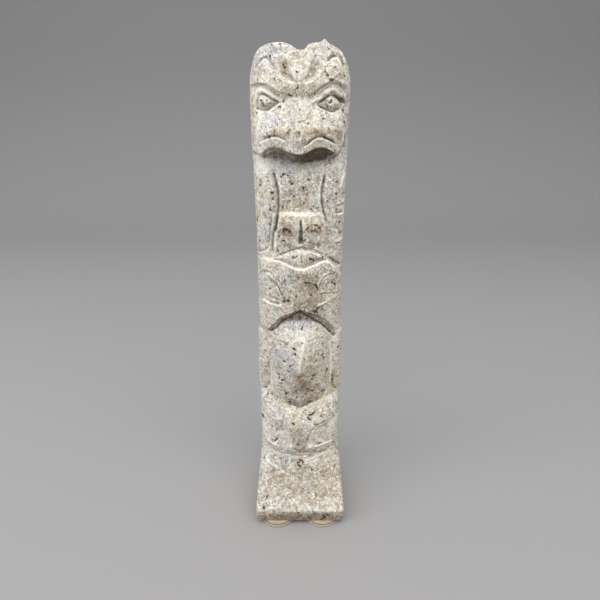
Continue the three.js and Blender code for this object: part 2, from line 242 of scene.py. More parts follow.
# Chisel lines: the way each runs, its half width, its depth and the height of its bank.
LOW_HEAD_CUTS = (
    # the mouth, a second line under its right half, and the folds beside the chin
    (((-19, 42.4), (-13, 40.2), (-8, 38.9), (-2, 37.7), (3, 37.6), (8, 38.4), (13, 40.2), (17, 42)),
     0.5, 1.0, 0.3),
    (((0.8, 35.5), (4, 36.3), (8, 37.4), (11.6, 38.4)), 0.4, 0.7, 0.3),
    (((2.8, 34.4), (7, 35.6), (12, 37.4), (15.6, 39.4), (20, 40.2)), 0.45, -0.5, 0.0),
    (((-8, 39.4), (-7.8, 36), (-7.6, 32.6), (-7.2, 29)), 0.5, 0.6, 0.4),
    (((-24, 36), (-20, 33.7), (-16.6, 31.8), (-13.6, 29.8)), 0.45, -0.4, 0.0),
    (((-24, 46), (-18, 43.4), (-12, 42), (-8.5, 41.5)), 0.5, 0.35, 0.0),
    (((-19, 41), (-16.6, 41.4), (-15, 40.2), (-17, 38.6)), 0.4, 0.5, 0.0),
    # the sharp inner edges of the leaves
    (((-11.4, 62.6), (-9.4, 59), (-8, 56.4), (-6.5, 53.4), (-5.5, 50.4), (-5, 46.4)), 0.4, -0.5, 0.0),
    (((5.1, 45.8), (5.2, 48.4), (5.8, 51.2), (6.8, 54.4), (8, 57.4), (9.6, 60.2)), 0.4, -0.5, 0.0),
    (((4.1, 46.6), (4.3, 49.6), (5, 52.8), (6.3, 56.4), (8, 59.8), (10.4, 62.6), (14, 64.8), (18.4, 67)),
     0.5, 0.8, 0.0),
    (((-4.2, 46.6), (-4.8, 50), (-5.9, 53.4), (-7.4, 57), (-8.8, 60)), 0.4, 0.6, 0.0),
    # creases round the leaves, hatching over the right one and a slanted stroke in the left one
    (((9.8, 58.6), (12, 60), (15, 60.9), (18.6, 62.2)), 0.45, 1.0, 0.0),
    (((10.8, 60.4), (13.4, 62.2), (16, 64), (19, 66)), 0.4, 0.8, 0.0),
    (((12, 60.9), (14.6, 62.4), (17.4, 64)), 0.35, 0.6, 0.3),
    (((8.4, 45), (12, 46.3), (16, 48), (19.6, 48.9), (21.8, 48.2)), 0.5, -0.7, 0.0),
    (((9, 43.8), (13, 45), (17, 46.6), (21, 47.4)), 0.45, 0.5, 0.0),
    (((5.6, 46.2), (8, 48.5), (10, 50.3), (12, 51.8), (14.2, 53.8)), 0.4, 0.5, 0.0),
    (((14.5, 54.4), (14.8, 52), (15.8, 50.4), (17.8, 49.6), (20.4, 49.8)), 0.4, 0.7, 0.0),
    (((-24, 49.2), (-20, 48.7), (-17, 47.6), (-13, 45.9)), 0.4, -0.45, 0.0),
    (((-24, 45.6), (-19.6, 45.6), (-15, 44.2)), 0.5, 0.4, 0.0),
    (((-17.2, 48), (-15.8, 49.8), (-14.4, 52.2)), 0.55, 1.2, 0.0),
    (((-17, 47), (-15, 48.6), (-13.6, 50.8), (-13, 53)), 0.45, -0.6, 0.0),
    (((-20.4, 48), (-18, 47.4), (-15.6, 46.4), (-13.4, 45.5)), 0.5, -0.5, 0.0),
    (((-22, 54), (-19, 53), (-16, 52.6)), 0.5, 0.5, 0.0),
    (((-23, 66.4), (-19.6, 65.4), (-15.4, 64.2), (-12, 63.4)), 0.5, 0.5, 0.0),
    (((-11.4, 64.4), (-10.2, 62), (-9, 59.6)), 0.4, 0.9, 0.0),
    # the creases where the brow ends at the right corner
    (((17.6, 75), (19.6, 71.4), (21.4, 67.6), (22.6, 63.6)), 0.45, 0.6, 0.0),
    (((19.4, 75.4), (21.4, 71.6), (23, 67.6), (24, 63.6)), 0.5, -0.45, 0.0),
    # scratches on the ramp
    (((20.4, 21.6), (23, 22), (26.5, 20.9)), 0.4, 0.4, 0.0),
    (((20.2, 18.6), (23.4, 18.4)), 0.35, 0.6, 0.0),
    (((22, 17), (26.8, 16.6)), 0.4, 0.3, 0.0),
    (((-27, 18.7), (-24, 18.4)), 0.4, 0.3, 0.0),
)


def leaf_share(x, z, hand, inner, under, soft):
    """How far inside the leaf on one side a place lies, from 0 outside to 1 well inside."""
    leaf = np.where(x * hand > 0, lens(np.abs(x), z, inner, under), -9)
    return step(leaf, -0.3, soft) * step(np.abs(x), 4, 5.6)


def low_head(x, z):
    """A brow that swells out below its upper edge, and leaves deepest along their upper edge."""
    rise = 1 - np.clip(-above(low_brow_top, x, z) / BROW_FALL, 0, 1)
    front = low_head_profile(z) - 1.2 * (x / 20) ** 2 - 4.6 * rise ** 2
    across = np.abs(x)
    for hand, inner, under in LEAVES:
        low = np.maximum(0, above(under, across, z))
        high = np.maximum(0, -above(inner, across, z))
        front -= LEAF_SUNK * low / (low + high + 0.1) * leaf_share(x, z, hand, inner, under, 1.0)
    return front


# ---- the belly, between two hanging arms ----

belly_half = smooth([
    (73, 2), (76, 7), (81, 12.5), (89, 17), (100, 18.2), (112, 18.8), (122, 18.6), (131, 17), (140, 14)])
belly_crest = smooth([
    (73, 4.4), (80, 6.2), (90, 9), (100, 11.3), (108, 12.6), (114, 12.7), (122, 11.4), (130, 9.2),
    (137, 7.4), (142, 6.6)])
BELLY_GROUND = 4.2
ARM_EDGE = 19
ARM_TOP = 126
HAND = 86
BELLY_CUTS = (
    # the inner edges of the arms, turning under the hands, then the bright ridge down the belly
    # and the bright edge of the right arm
    (((-19.3, 106), (-19, 98), (-19.2, 92), (-19.9, 89), (-21.6, 86.6), (-24.6, 84.8)), 0.6, 1.3, 0.35),
    (((19.9, 98), (20, 92), (20.5, 88.6), (21.9, 86), (24.8, 84.2)), 0.55, 1.6, 0.0),
    (((3, 125), (2.2, 119.5), (0.8, 113), (-0.3, 107.4), (-0.2, 101)), 0.9, -0.5, 0.0),
    (((17.3, 121), (18.2, 116), (18.9, 110), (19.1, 104), (18.9, 97), (18.6, 90)), 0.5, -0.75, 0.0),
)


def belly(x, z):
    """An egg with a blunt ridge down its upper half, standing out of a sunk ground."""
    away = np.minimum(1, np.abs(x - 0.6) / belly_half(z))
    egg = (1 - away ** 2) ** 0.9
    ridge = 1.5 * (1 - away) ** 4 * within(z, 104, 126, 8)
    return BELLY_GROUND + (belly_crest(z) - BELLY_GROUND) * egg + ridge


def arm(x, z):
    """A hanging arm with a rounded hand, on each front corner beside the belly."""
    edge = ARM_EDGE + 1.6 * cut(z - HAND, 4)
    return 0.9 * step(np.abs(x), edge, edge + 1.6) * within(z, HAND, ARM_TOP, 1.2)


# ---- the middle head: a broad mask whose beak arches over the belly ----

beak_arch = smooth([
    (-24.5, 129.6), (-20, 128.8), (-15, 133), (-11, 137.6), (-6, 139.9), (1, 142.2), (4, 140.9),
    (8, 139.7), (12, 137.9), (15.5, 135), (18.5, 131.6), (21, 128.4), (24.5, 127.6)])
middle_head_top = smooth([
    (-24.5, 171.8), (-20, 172.3), (-15, 171.9), (-10, 170.6), (-5, 168.2), (0, 166.5), (5, 167.2),
    (10, 169.9), (13, 171.1), (15.4, 170.9), (17, 170.1), (18.6, 168.4), (20.2, 166.6), (24, 162.2)])
middle_profile = smooth([(126, 9.6), (140, 10.8), (152, 11.1), (162, 11.2), (167, 10.6), (173, 9.2)])
# How tall the hollow under the arch is: shallow at its point, deep on both sides.
arch_hollow = smooth([
    (-23, -1.6), (-15, -3.1), (-8, -3.2), (0, -2.2), (5, -3.3), (10, -4.4), (16, -4.4), (20, -3.6),
    (24, -3.2)])
# How far down the belly lies in the beak's shade.
belly_shade = smooth([
    (-21, 126.6), (-18, 127), (-15, 129), (-12, 131.5), (-9, 133.3), (-5, 134), (0, 134.3), (5, 134),
    (8, 133.5), (10, 132.9), (13, 131.4), (15, 129.7), (17, 127.2), (19, 125), (21, 123.8), (24, 124)])
MIDDLE_HEAD_CUTS = (
    # the right eye: a ring, a smaller ring inside it, and a lid line under both
    (((10.6, 155.4), (11.4, 158.4), (13, 161), (15, 162.8), (17.2, 163.5), (19.4, 162.4), (20.9, 160),
      (21.5, 157)), 0.42, 0.7, 0.5),
    (((15.6, 165), (18, 164.4), (20.2, 162.6), (21.8, 160)), 0.4, 0.6, 0.0),
    (((12.4, 156.6), (13.6, 159.2), (15.4, 160.4), (17.2, 159.4)), 0.35, 0.6, 0.25),
    (((19.6, 157.2), (17.6, 158.5), (15.6, 157.6), (15, 155.6), (16.4, 153.8), (18.8, 153.8), (20, 155.4)),
     0.4, 0.7, 0.25),
    (((10, 151.4), (13.6, 152.4), (17.6, 152.2), (21.4, 151.4)), 0.4, 0.7, 0.45),
    # the left eye: a rounded outline, open below, and its lid lines
    (((-23.8, 159.4), (-22.6, 162.3), (-20.6, 164.5), (-17.6, 164.8), (-15, 162.6), (-13.4, 160)),
     0.6, 0.7, 0.3),
    (((-22, 156.3), (-19.6, 159), (-16.6, 158.7)), 0.5, 0.5, 0.0),
    (((-23, 150.5), (-19, 150.2), (-15, 149.7), (-11.6, 148.3), (-9.8, 146.8)), 0.35, 0.7, 0.35),
    (((-20.6, 148.2), (-17.5, 146.9), (-13.5, 146.1), (-10, 146)), 0.4, 1.0, 0.0),
    (((-23, 147.5), (-19, 146), (-14, 144.9), (-9.2, 143.7)), 0.4, -0.8, 0.0),
    (((-21.6, 159), (-20.2, 162), (-17.8, 163.3), (-15.6, 161.8), (-14.2, 159.6)), 0.45, -0.55, 0.0),
    (((-13.5, 157.4), (-12.3, 154), (-11.1, 151)), 0.4, -0.5, 0.0),
    # the head's sharp upper edge under the tongue
    (((-14, 171), (-9, 169.6), (-4, 167), (0, 165.9), (4, 166.4), (8, 168.2), (12, 170),
      (14.6, 170.3), (16.8, 169.3), (18.4, 167.6), (20.6, 165.4)), 0.38, -0.6, 0.0),
    # cheek lines
    (((9.4, 144.3), (13, 146.1), (17, 148), (22.4, 149.9)), 0.42, -0.9, 0.0),
    (((10.6, 143.8), (14, 145.3), (18, 147), (22.4, 148.6)), 0.4, 0.5, 0.0),
    (((11.8, 145.8), (10.2, 147), (9.4, 149)), 0.35, 0.5, 0.0),
    (((19.9, 140.4), (20, 143.5), (22.7, 144.7)), 0.4, -0.6, 0.0),
    (((20.9, 140.2), (21, 142.6)), 0.35, 0.5, 0.0),
)


def middle_head(x, z):
    return middle_profile(z) - 1.6 * (x / 20) ** 2 - 0.5 * cut(x + 17, 5) * cut(z - 153, 6) \
        - 0.5 * cut(x - 17, 4.5) * cut(z - 156, 5)


# ---- the tongue: a small lens held between the block and the middle head ----

tongue_top = smooth([
    (-14.5, 172.1), (-11, 173.5), (-5, 176), (0.5, 177.3), (4, 176.8), (8, 175.5), (11, 173.9), (13.9, 172)])
TONGUE_HALF = 14.2
TONGUE_CUTS = (
    (((-12.8, 173), (-9, 174.7), (-5, 176.4), (-1, 177.6), (1, 177.8), (4, 177.4), (8, 176.4), (11, 175),
      (13.6, 173)), 0.6, 0.9, 0.0),
    (((3, 176.3), (6, 175.5), (9, 174.4), (12, 172.8)), 0.4, -0.5, 0.0),
    (((0.9, 174.4), (0.6, 172), (0.9, 169.6)), 0.4, 0.9, 0.0),
    (((-4.2, 173.4), (-3, 172), (-1.6, 173)), 0.4, 0.8, 0.0),
    (((4.8, 173), (6, 171.6), (7.6, 171.4)), 0.4, 0.8, 0.0),
    (((1.4, 167.9), (4.6, 168.8), (8.4, 170.6), (12.4, 172)), 0.45, 0.8, 0.0),
)


def tongue(x, z):
    low = middle_head_top(x)
    high = tongue_top(x)
    up = np.clip((z - low) / np.maximum(0.5, high - low), 0, 1)
    return 7.5 + 2.2 * np.sqrt(4 * up * (1 - up)) * (1 - np.minimum(1, np.abs(x) / 15) ** 4)


# ---- the bird's chest between folded wings, with a squared block split down its middle ----

panel_left = smooth([
    (174, -14.6), (180, -14), (186, -13), (192, -12.4), (198, -11.6), (206, -11.4), (212, -11.8),
    (219, -13.9)])
panel_right = smooth([
    (176, 14.8), (184, 14.5), (190, 14.3), (195, 13.2), (199, 12), (204, 11), (208, 11), (213, 11.8),
    (219, 13.6)])
chest_profile = smooth([(196, 5), (205, 6.2), (210, 6.1), (215, 5.6), (221, 4.4), (227, 3.2)])
wing_profile = smooth([(174, 5.6), (190, 6.8), (206, 7.1), (212, 6.9), (217, 6), (223, 4.6)])
BLOCK_REACH = 8.9
BLOCK_LEAN = 0.035
BLOCK_TOP = (195, 197.2)
SPLIT = (180, 194.4)
CHEST_CUTS = (
    # the long grooves between chest and wings, and a second one beside the right
    (((-14.2, 218.8), (-13.1, 215), (-12, 210.5), (-11.5, 206), (-11.6, 200), (-12.1, 195), (-12.9, 190),
      (-13.5, 186.5)), 0.7, 1.6, 0.3),
    (((-13.2, 189.6), (-14.4, 186), (-15, 182), (-15.2, 178), (-15.2, 174)), 0.65, 1.1, 0.0),
    (((-13.6, 188), (-13.7, 184), (-13.7, 180), (-13.5, 176)), 0.5, -0.6, 0.0),
    (((13.2, 218), (12.6, 214.6), (11.7, 210.5), (11.4, 206), (11.8, 201.5), (12.6, 198), (13.7, 194.5),
      (14.5, 190.6)), 0.65, 1.5, -0.3),
    (((14.2, 191), (14.8, 185), (15.4, 179), (16.4, 174.6)), 0.9, 0.45, 0.0),
    (((13.2, 217), (12.8, 211), (12.5, 206), (12.8, 201.5), (14, 197.6)), 0.5, 0.7, 0.0),
    # scratches across the chest
    (((-3, 213.2), (2, 212.9), (7, 213.4)), 0.35, 0.4, 0.0),
    (((-9.4, 205.6), (-5, 205.2), (-0.6, 205.8)), 0.4, 0.5, 0.0),
    (((-6, 199.4), (0, 199), (7, 199.2)), 0.5, 0.25, 0.0),
    (((-4, 208.2), (1, 207.8), (5, 208.4)), 0.35, 0.3, 0.0),
    # feathers of the left wing
    (((-20.8, 216), (-20.2, 209), (-19.9, 202), (-19.7, 195)), 0.5, 0.7, 0.3),
    (((-15.4, 196), (-16, 190), (-16.8, 183), (-18, 177.6), (-20.6, 175.6), (-24.8, 173.4)),
     0.55, 1.0, 0.4),
    (((-23.6, 197), (-23.4, 191), (-22.4, 184), (-23.4, 180)), 0.5, 0.7, 0.0),
    (((-17.4, 214), (-17, 207), (-16.8, 200)), 0.4, 0.5, 0.3),
    (((-18.6, 196), (-19, 188), (-19.6, 181)), 0.4, 0.5, 0.25),
    (((-12.6, 178.4), (-12.3, 176.6), (-11.8, 175)), 0.45, 0.9, 0.0),
    # feathers of the right wing
    (((20.2, 214), (19.6, 207), (19.4, 200), (19.8, 194)), 0.4, 0.7, -0.3),
    (((17.4, 191), (17.6, 185), (17.2, 179)), 0.5, 0.6, 0.3),
    (((15.8, 208), (16, 202), (16.6, 196)), 0.4, 0.45, 0.0),
    (((20, 201.6), (21.8, 201.8), (24.4, 202.8)), 0.5, -0.9, 0.0),
    (((20, 200.5), (21.8, 200.5), (24.4, 201.5)), 0.45, 1.2, 0.0),
    (((19.7, 197), (21.4, 196.6), (23.4, 197.2)), 0.45, 1.2, 0.0),
    (((20, 195.7), (21.8, 195.5), (24, 196.4)), 0.5, -0.9, 0.0),
    (((19.6, 181), (21.4, 180.8), (23.8, 181.8)), 0.5, -0.9, 0.0),
    (((19.4, 179.8), (21.4, 179.6), (24, 180.6)), 0.45, 0.9, 0.0),
    (((24.2, 217.6), (22.8, 214.4), (22.2, 211.6), (22, 209.2)), 0.6, -0.8, 0.0),
    # the edge of the right wing, round the middle head's corner
    (((14.8, 172.2), (17.2, 171.2), (19.2, 169.6), (21.2, 168.1), (23.4, 166.2)), 1.0, 1.3, 0.0),
    (((14.9, 180), (15, 176.6), (15.8, 174)), 0.7, -0.4, 0.0),
)


def chest(x, z):
    panel = step(x - panel_left(z), -0.2, 0.9) * (1 - step(x - panel_right(z), -0.9, 0.2))
    block = BLOCK_REACH - 0.5 * (x / 12) ** 2 - BLOCK_LEAN * (BLOCK_TOP[0] - z) - 1.3 * step(z, 187, 197)
    # The split is a thin cut at the top of the block and opens downwards.
    opening = mix(0.85, 0.3, step(z, 181, 193))
    split = 1 - step(np.abs(x - 0.5), opening, opening + 0.5)
    block -= 2.8 * split * step(z, SPLIT[0] - 0.5, SPLIT[0] + 0.3) * (1 - step(z, SPLIT[1] - 4, SPLIT[1]))
    front = mix(block, chest_profile(z), step(z, *BLOCK_TOP))
    return mix(wing_profile(z), front, panel)


# ---- the great head: a short broad beak under heavy brows, and a notched crown leaning back ----

jaw_under = smooth([
    (-24, 226.3), (-20, 225.4), (-10, 224.2), (0, 222.3), (8, 223.6), (16, 225), (19.5, 226.6),
    (22.5, 232.5), (25, 237)])
mouth_edge = smooth([
    (-24, 228.2), (-20.6, 227), (-17, 229.4), (-13.5, 230.3), (-10, 229.9), (-7, 228.5), (-3, 227.3),
    (0, 226.9), (2.5, 227.4), (5, 228.6), (8, 229.9), (11, 230.3), (14, 229.6), (17.5, 227.9), (20, 228.6),
    (22.5, 234), (25, 239)])
lip_fold = smooth([
    (-20.5, 232.6), (-17.5, 234.6), (-14, 235.6), (-10.5, 235.4), (-7.5, 233.6), (-3.5, 230.4), (0, 229),
    (2.5, 230.8), (5.5, 233.4), (8.5, 235), (11.5, 234.8), (15, 233.4), (18.5, 231.6), (20, 231.6),
    (22.5, 236.5), (25, 242)])
brow_under = smooth([
    (-24.5, 259.2), (-20, 259.6), (-16, 258.5), (-12, 256.3), (-8, 254.2), (0, 252.9), (5, 253.7), (8, 256),
    (12, 258.9), (16, 260.2), (19, 259.8), (23, 257)])
brow_top = smooth([(-14, 265.6), (-10, 262.6), (-5, 260.2), (0, 259.6), (5, 260.3), (8.5, 262.8), (14, 268)])
crown_line = smooth([
    (-26, 266), (-24.4, 269), (-22.4, 273.4), (-20, 276), (-15, 277.9), (-9, 278.5), (-5, 277.5), (-1, 275.2),
    (1.5, 275), (4.5, 277.8), (8, 278.4), (11, 278.7), (14, 277.9), (16.5, 276.9), (19.5, 275.2), (22, 272.6),
    (24, 269.4), (26, 265.6)])
KNOB = (12.1, -1)
head_profile = smooth([
    (222, 13.4), (230, 14.4), (236, 15), (240, 14), (246, 11.2), (250, 9.4), (253, 8.4), (257, 7.8)])
crown_profile = smooth([(251, 9.6), (257, 10.7), (262, 9.6), (270, 6.8), (280, 2.6)])
RIGHT_LID = smooth([
    (5.5, 252), (8, 254.4), (10.5, 256.8), (13, 258.5), (15.5, 259.2), (18, 258.8), (20, 257.5), (21.8, 255),
    (23.1, 251)])
RIGHT_UPPER = smooth([
    (8, 250.5), (10, 251.5), (12, 252.8), (14, 254.1), (15.6, 254.6), (17.6, 253.8), (19.4, 252.3),
    (21.4, 249.9)])
RIGHT_LOWER = smooth([
    (8, 250.5), (10, 249.3), (12, 248.4), (14, 247.6), (16.3, 247.2), (18.6, 248.2), (21.4, 249.9)])
LEFT_LID = smooth([
    (-23.6, 252), (-22.2, 256.8), (-20, 259), (-17.5, 258.7), (-14.6, 257.4), (-12, 255.4), (-9, 252.8)])
LEFT_UPPER = smooth([(-22.2, 250), (-20.6, 253.6), (-18.6, 254.9), (-16, 254), (-13, 252.4), (-9.4, 251.1)])
LEFT_LOWER = smooth([
    (-22.2, 250), (-20.4, 248.4), (-18, 247.7), (-16, 247.9), (-14.4, 248.9), (-12.8, 250),
    (-11, 250.8), (-9.4, 251.1)])
GREAT_HEAD_CUTS = (
    # the right eye's creases, its pouch and the tear line to the beak
    (((7.6, 250.7), (10, 251.6), (12, 252.9), (14, 254.3), (15.8, 254.9)), 0.5, 1.1, 0.0),
    (((15.2, 255), (17.6, 254.2), (19.6, 252.6), (21.8, 250.4)), 0.8, 1.5, 0.0),
    (((19.2, 253.8), (21.2, 252.4), (22.6, 250.8)), 1.0, 1.2, 0.0),
    (((7.8, 250.4), (10, 249.1), (12, 248.1), (14, 247.3), (16.3, 246.9), (18.6, 247.9), (20.8, 249.3)),
     0.42, 1.2, -0.25),
    (((5.8, 252.4), (8.4, 254.9), (11, 257.3), (14, 258.9), (17, 259.1), (20, 257.8), (22, 255),
      (23.2, 251.4)), 0.42, -0.6, 0.0),
    (((23.4, 256), (23.8, 252.6), (23.2, 249)), 0.6, 0.3, 0.0),
    # the left eye's creases
    (((-21.6, 254.4), (-18.7, 255.2), (-16.4, 254.4), (-14.6, 253.3), (-12.6, 252.2), (-9.8, 251.5)),
     0.5, 1.2, 0.0),
    (((-22.4, 249), (-20.2, 248.1), (-18, 247.3), (-16, 247.5), (-14.4, 248.5), (-12.8, 249.7), (-11, 250.7)),
     0.45, 1.0, 0.0),
    (((-8.4, 251), (-7.9, 252.1), (-7.3, 253.2)), 0.4, 0.8, 0.0),
    # a faint crease down the beak and a pit near its tip
    (((-2.2, 247), (-2.5, 244), (-2.7, 241), (-2.3, 238)), 0.45, 0.3, 0.0),
    (((-0.4, 238), (0.2, 237), (0, 235.4)), 0.6, 0.7, 0.0),
    # lips
    (((-20.4, 232.8), (-17.6, 234.3), (-14.6, 235.3), (-11.4, 235.4), (-8.4, 234.4), (-6.4, 233)),
     0.55, 1.15, -0.45),
    (((2.4, 230.8), (5, 233), (7.4, 234.6), (9.4, 235.2), (12, 234.9), (15, 233.6), (18.6, 231.8)),
     0.55, 1.3, -0.5),
    (((11, 235), (14, 234.2), (17.4, 232.6)), 0.8, 0.6, 0.0),
    # jaw corners
    (((23.3, 238), (23, 233.4), (21.8, 229.8), (19.6, 226.6), (16.8, 224.4), (13, 223.4)), 0.7, 1.0, -0.3),
    (((-23.6, 236), (-23.4, 231), (-21.6, 227.2)), 0.8, 0.4, 0.0),
    (((24.4, 231), (24, 224), (23.8, 218)), 0.7, 0.5, 0.0),
    # ears
    (((-22.4, 265.8), (-21, 268.3), (-19.2, 270.2), (-17, 271.4), (-14.8, 270), (-12, 265.8)),
     0.55, 1.0, -0.25),
    (((13, 269.3), (15, 271.2), (17, 272.1), (19, 271.8), (20.6, 270), (21.7, 267)), 0.65, 1.5, -0.25),
    (((14.4, 269), (16.6, 270.6), (18.5, 270.2), (20, 267), (20.5, 262.6)), 0.4, -0.35, 0.0),
    # the bright edges of the wedge between the crown's lobes
    (((-6, 269), (-4.8, 266), (-3.6, 263.4), (-2, 261.6)), 0.45, -0.4, 0.0),
    (((1.6, 261.6), (3, 263.4), (4.2, 266), (5.4, 269)), 0.45, -0.4, 0.0),
    # the fold at the wedge's foot, the pale ridge under the left eye, and scratches on the crown
    (((-6.2, 263), (-4.4, 261.2), (-2, 260.4), (0.6, 260.3)), 0.45, 0.8, 0.0),
    (((-16, 246.7), (-14.2, 247.8), (-12.4, 249), (-10.6, 250.2), (-8.6, 251)), 0.5, -0.6, 0.0),
    (((9, 268.6), (12, 270.4), (14, 270.6)), 0.5, 0.3, 0.0),
    (((-12, 272.6), (-8, 273.4), (-6, 272)), 0.6, 0.3, 0.0),
)


def great_head(x, z):
    across = np.abs(x)
    socket = 1.2 * cut(across - 15.5, 7.5) * cut(z - 250.5, 6)
    temple = 3.4 * step(x, 20.5, 24) + 1.6 * step(-x, 21, 24.5)
    bridge = 1.8 * (1 - step(across, 2, 9)) * step(z, 242, 254)
    beak = head_profile(z) - 1.4 * (x / 20) ** 2 - socket + temple * step(z, 248, 257) + bridge
    beak += 0.35 * (1 - step(across, 0, 3)) * within(z, 230, 250, 3)
    for lid, upper, lower, nearest, farthest in (
            (RIGHT_LID, RIGHT_UPPER, RIGHT_LOWER, 8.6, 20.8), (LEFT_LID, LEFT_UPPER, LEFT_LOWER, -21.6, -10)):
        here = within(x, nearest, farthest, 0.6)
        beak += 2.3 * step(lens(x, z, lid, lower), -0.5, 2.6) * within(x, nearest - 2.4, farthest + 1.8, 1)
        ball = lens(x, z, upper, lower)
        beak += (0.8 * step(ball, 0, 2.6) - 1.1 * step(ball, -0.5, 0.1) - 0.5 * cut(ball + 0.1, 0.5)) * here
    wedge = 1 - step(np.abs(x + 0.3) - 0.45 * (z - 256.1), -0.5, 1.1)
    sunk = step(above(brow_top, x, z), -0.5, 2.2) * (1 - step(z, 265, 275)) * (1 - step(across, 6.5, 13))
    rim = 0.3 * cut(above(brow_top, x, z) + 0.6, 0.6) * (1 - step(across, 10, 14))
    crown = crown_profile(z) - 2.4 * sunk * (1 - wedge) + rim - 0.8 * (x / 20) ** 2
    return mix(beak, crown, cove(above(brow_under, x, z), -1.4, 0.5))


# ---- the whole front, as reach before the origin ----


def front_reach(x, z):
    """How far the carved front stands before the origin, form over form from the foot up."""
    reach = mix(plain_reach(z), low_head(x, z), step(above(chin_line, x, z), -0.5, 1.2))
    reach = mix(reach, belly(x, z), step(above(low_brow_top, x, z), -1.2, 0.3))
    reach = mix(reach, middle_head(x, z), cove(above(beak_arch, x, z), arch_hollow(x), 0.2))
    over_tongue = np.where(np.abs(x) < TONGUE_HALF, step(above(tongue_top, x, z), -0.4, 0.4), 1)
    bird = mix(tongue(x, z), chest(x, z), over_tongue)
    reach = mix(reach, bird, step(above(middle_head_top, x, z), -1.5, 0.4))
    return mix(reach, great_head(x, z), cove(z, jaw_under(x), mouth_edge(x)))


# ---- cut lines and small forms, as height above the surface that they are cut in ----


def engraved(x, z, points, half_cut, deep, bank):
    """A chisel line through points that fades at both ends, with a bank pushed up on one side.

    The bank lies to the line's left, or to its right where bank is below 0. Where deep is
    below 0 the line stands proud instead of being cut in.
    """
    nodes = np.array([points[0], *points, points[-1]], float)
    spans = []
    t = np.linspace(0, 1, 6)[:-1, None]
    for a, b, c, d in zip(nodes, nodes[1:], nodes[2:], nodes[3:]):
        spans.append(0.5 * (2 * b + (c - a) * t + (2 * a - 5 * b + 4 * c - d) * t ** 2
                            + (3 * b - a - 3 * c + d) * t ** 3))
    route = np.vstack([*spans, nodes[-1:]])
    low, high = route.min(axis=0) - 4 * half_cut, route.max(axis=0) + 4 * half_cut
    near = (x > low[0]) & (x < high[0]) & (z > low[1]) & (z < high[1])
    here_x, here_z = x[near], z[near]
    nearest = np.full(len(here_x), 99.0)
    side = np.zeros(len(here_x))
    passed = np.zeros(len(here_x))
    lengths = np.hypot(*np.diff(route, axis=0).T)
    so_far = 0.0
    for (ax, az), (bx, bz), length in zip(route, route[1:], lengths):
        if length < 1e-6:
            continue
        ux, uz = (bx - ax) / length, (bz - az) / length
        along = np.clip((here_x - ax) * ux + (here_z - az) * uz, 0, length)
        off_x, off_z = here_x - ax - ux * along, here_z - az - uz * along
        distance = np.hypot(off_x, off_z)
        closer = distance < nearest
        nearest = np.where(closer, distance, nearest)
        side = np.where(closer, np.sign(ux * off_z - uz * off_x), side)
        passed = np.where(closer, so_far + along, passed)
        so_far += length
    fade = step(np.minimum(passed, so_far - passed), -0.6, min(2.5, 0.3 * so_far))
    hand = math.copysign(1, bank) if bank else 1
    ridge = abs(bank) * cut(side * hand * nearest - 1.7 * half_cut, half_cut)
    height = np.zeros_like(x)
    height[near] = fade * (ridge - deep * cut(nearest, half_cut))
    return height


def ear(x, z, middle, foot, half, tall):
    """An ear: a small raised triangle on a lobe of the crown."""
    up = (z - foot) / tall
    inside = (half * (1 - up) - np.abs(x - middle)) * 0.75
    return 0.9 * step(inside, -0.3, 1.2) * step(up, -0.7, 0.6) * (1 - step(up, 1, 1.4))


def flank(y, z):
    """The flanks: three long feathers of the folded wing, and the bent leg beside the belly."""
    height = np.zeros_like(z)
    for middle, lean in ((7, 0.05), (13, 0.1), (19, 0.16)):
        line = middle + lean * (216 - z)
        height -= 0.7 * cut(y - line, 1.3) * within(z, 176, 216, 2)
    knee = np.hypot((y - 11) / 8, (z - 101) / 13)
    height += 0.9 * (1 - step(knee, 0.75, 1.05))
    return height * step(y, 4, 8) * (1 - step(y, BACK - BACK_ROUND - 3, BACK - BACK_ROUND))


def rubbed(x, y, z):
    """The slight unevenness of a surface rubbed down by hand. It only ever takes stone away."""
    where = zip(x.tolist(), y.tolist(), z.tolist())
    waves = [noise.noise(Vector(p) / 11) * 0.22 + noise.noise(Vector(p) / 2.4) * 0.09 for p in where]
    return np.minimum(0, np.array(waves) - 0.12)


def chisel_lines(x, z):
    height = np.zeros_like(x)
    for points, half_cut, deep, bank in (
            LOW_HEAD_CUTS + BELLY_CUTS + MIDDLE_HEAD_CUTS + TONGUE_CUTS + CHEST_CUTS + GREAT_HEAD_CUTS):
        height += engraved(x, z, points, half_cut, deep, bank)
    return height


def surface_height(x, y, z):
    height = ear(x, z, -16.8, 265.4, 4.6, 5.8) + ear(x, z, 17.6, 264.6, 4.6, 6.4) + arm(x, z)
    height += chisel_lines(x, z)
    return height * (1 - step(y, 2, 6)) + flank(y, z) + rubbed(x, y, z)


# ---- the net: columns round the block ----

ROUTE = (("face", 37), ("front_corner", 26), ("side", 8), ("back_corner", 4), ("rear", 5))
HALF_COLUMNS = sum(steps for _, steps in ROUTE)


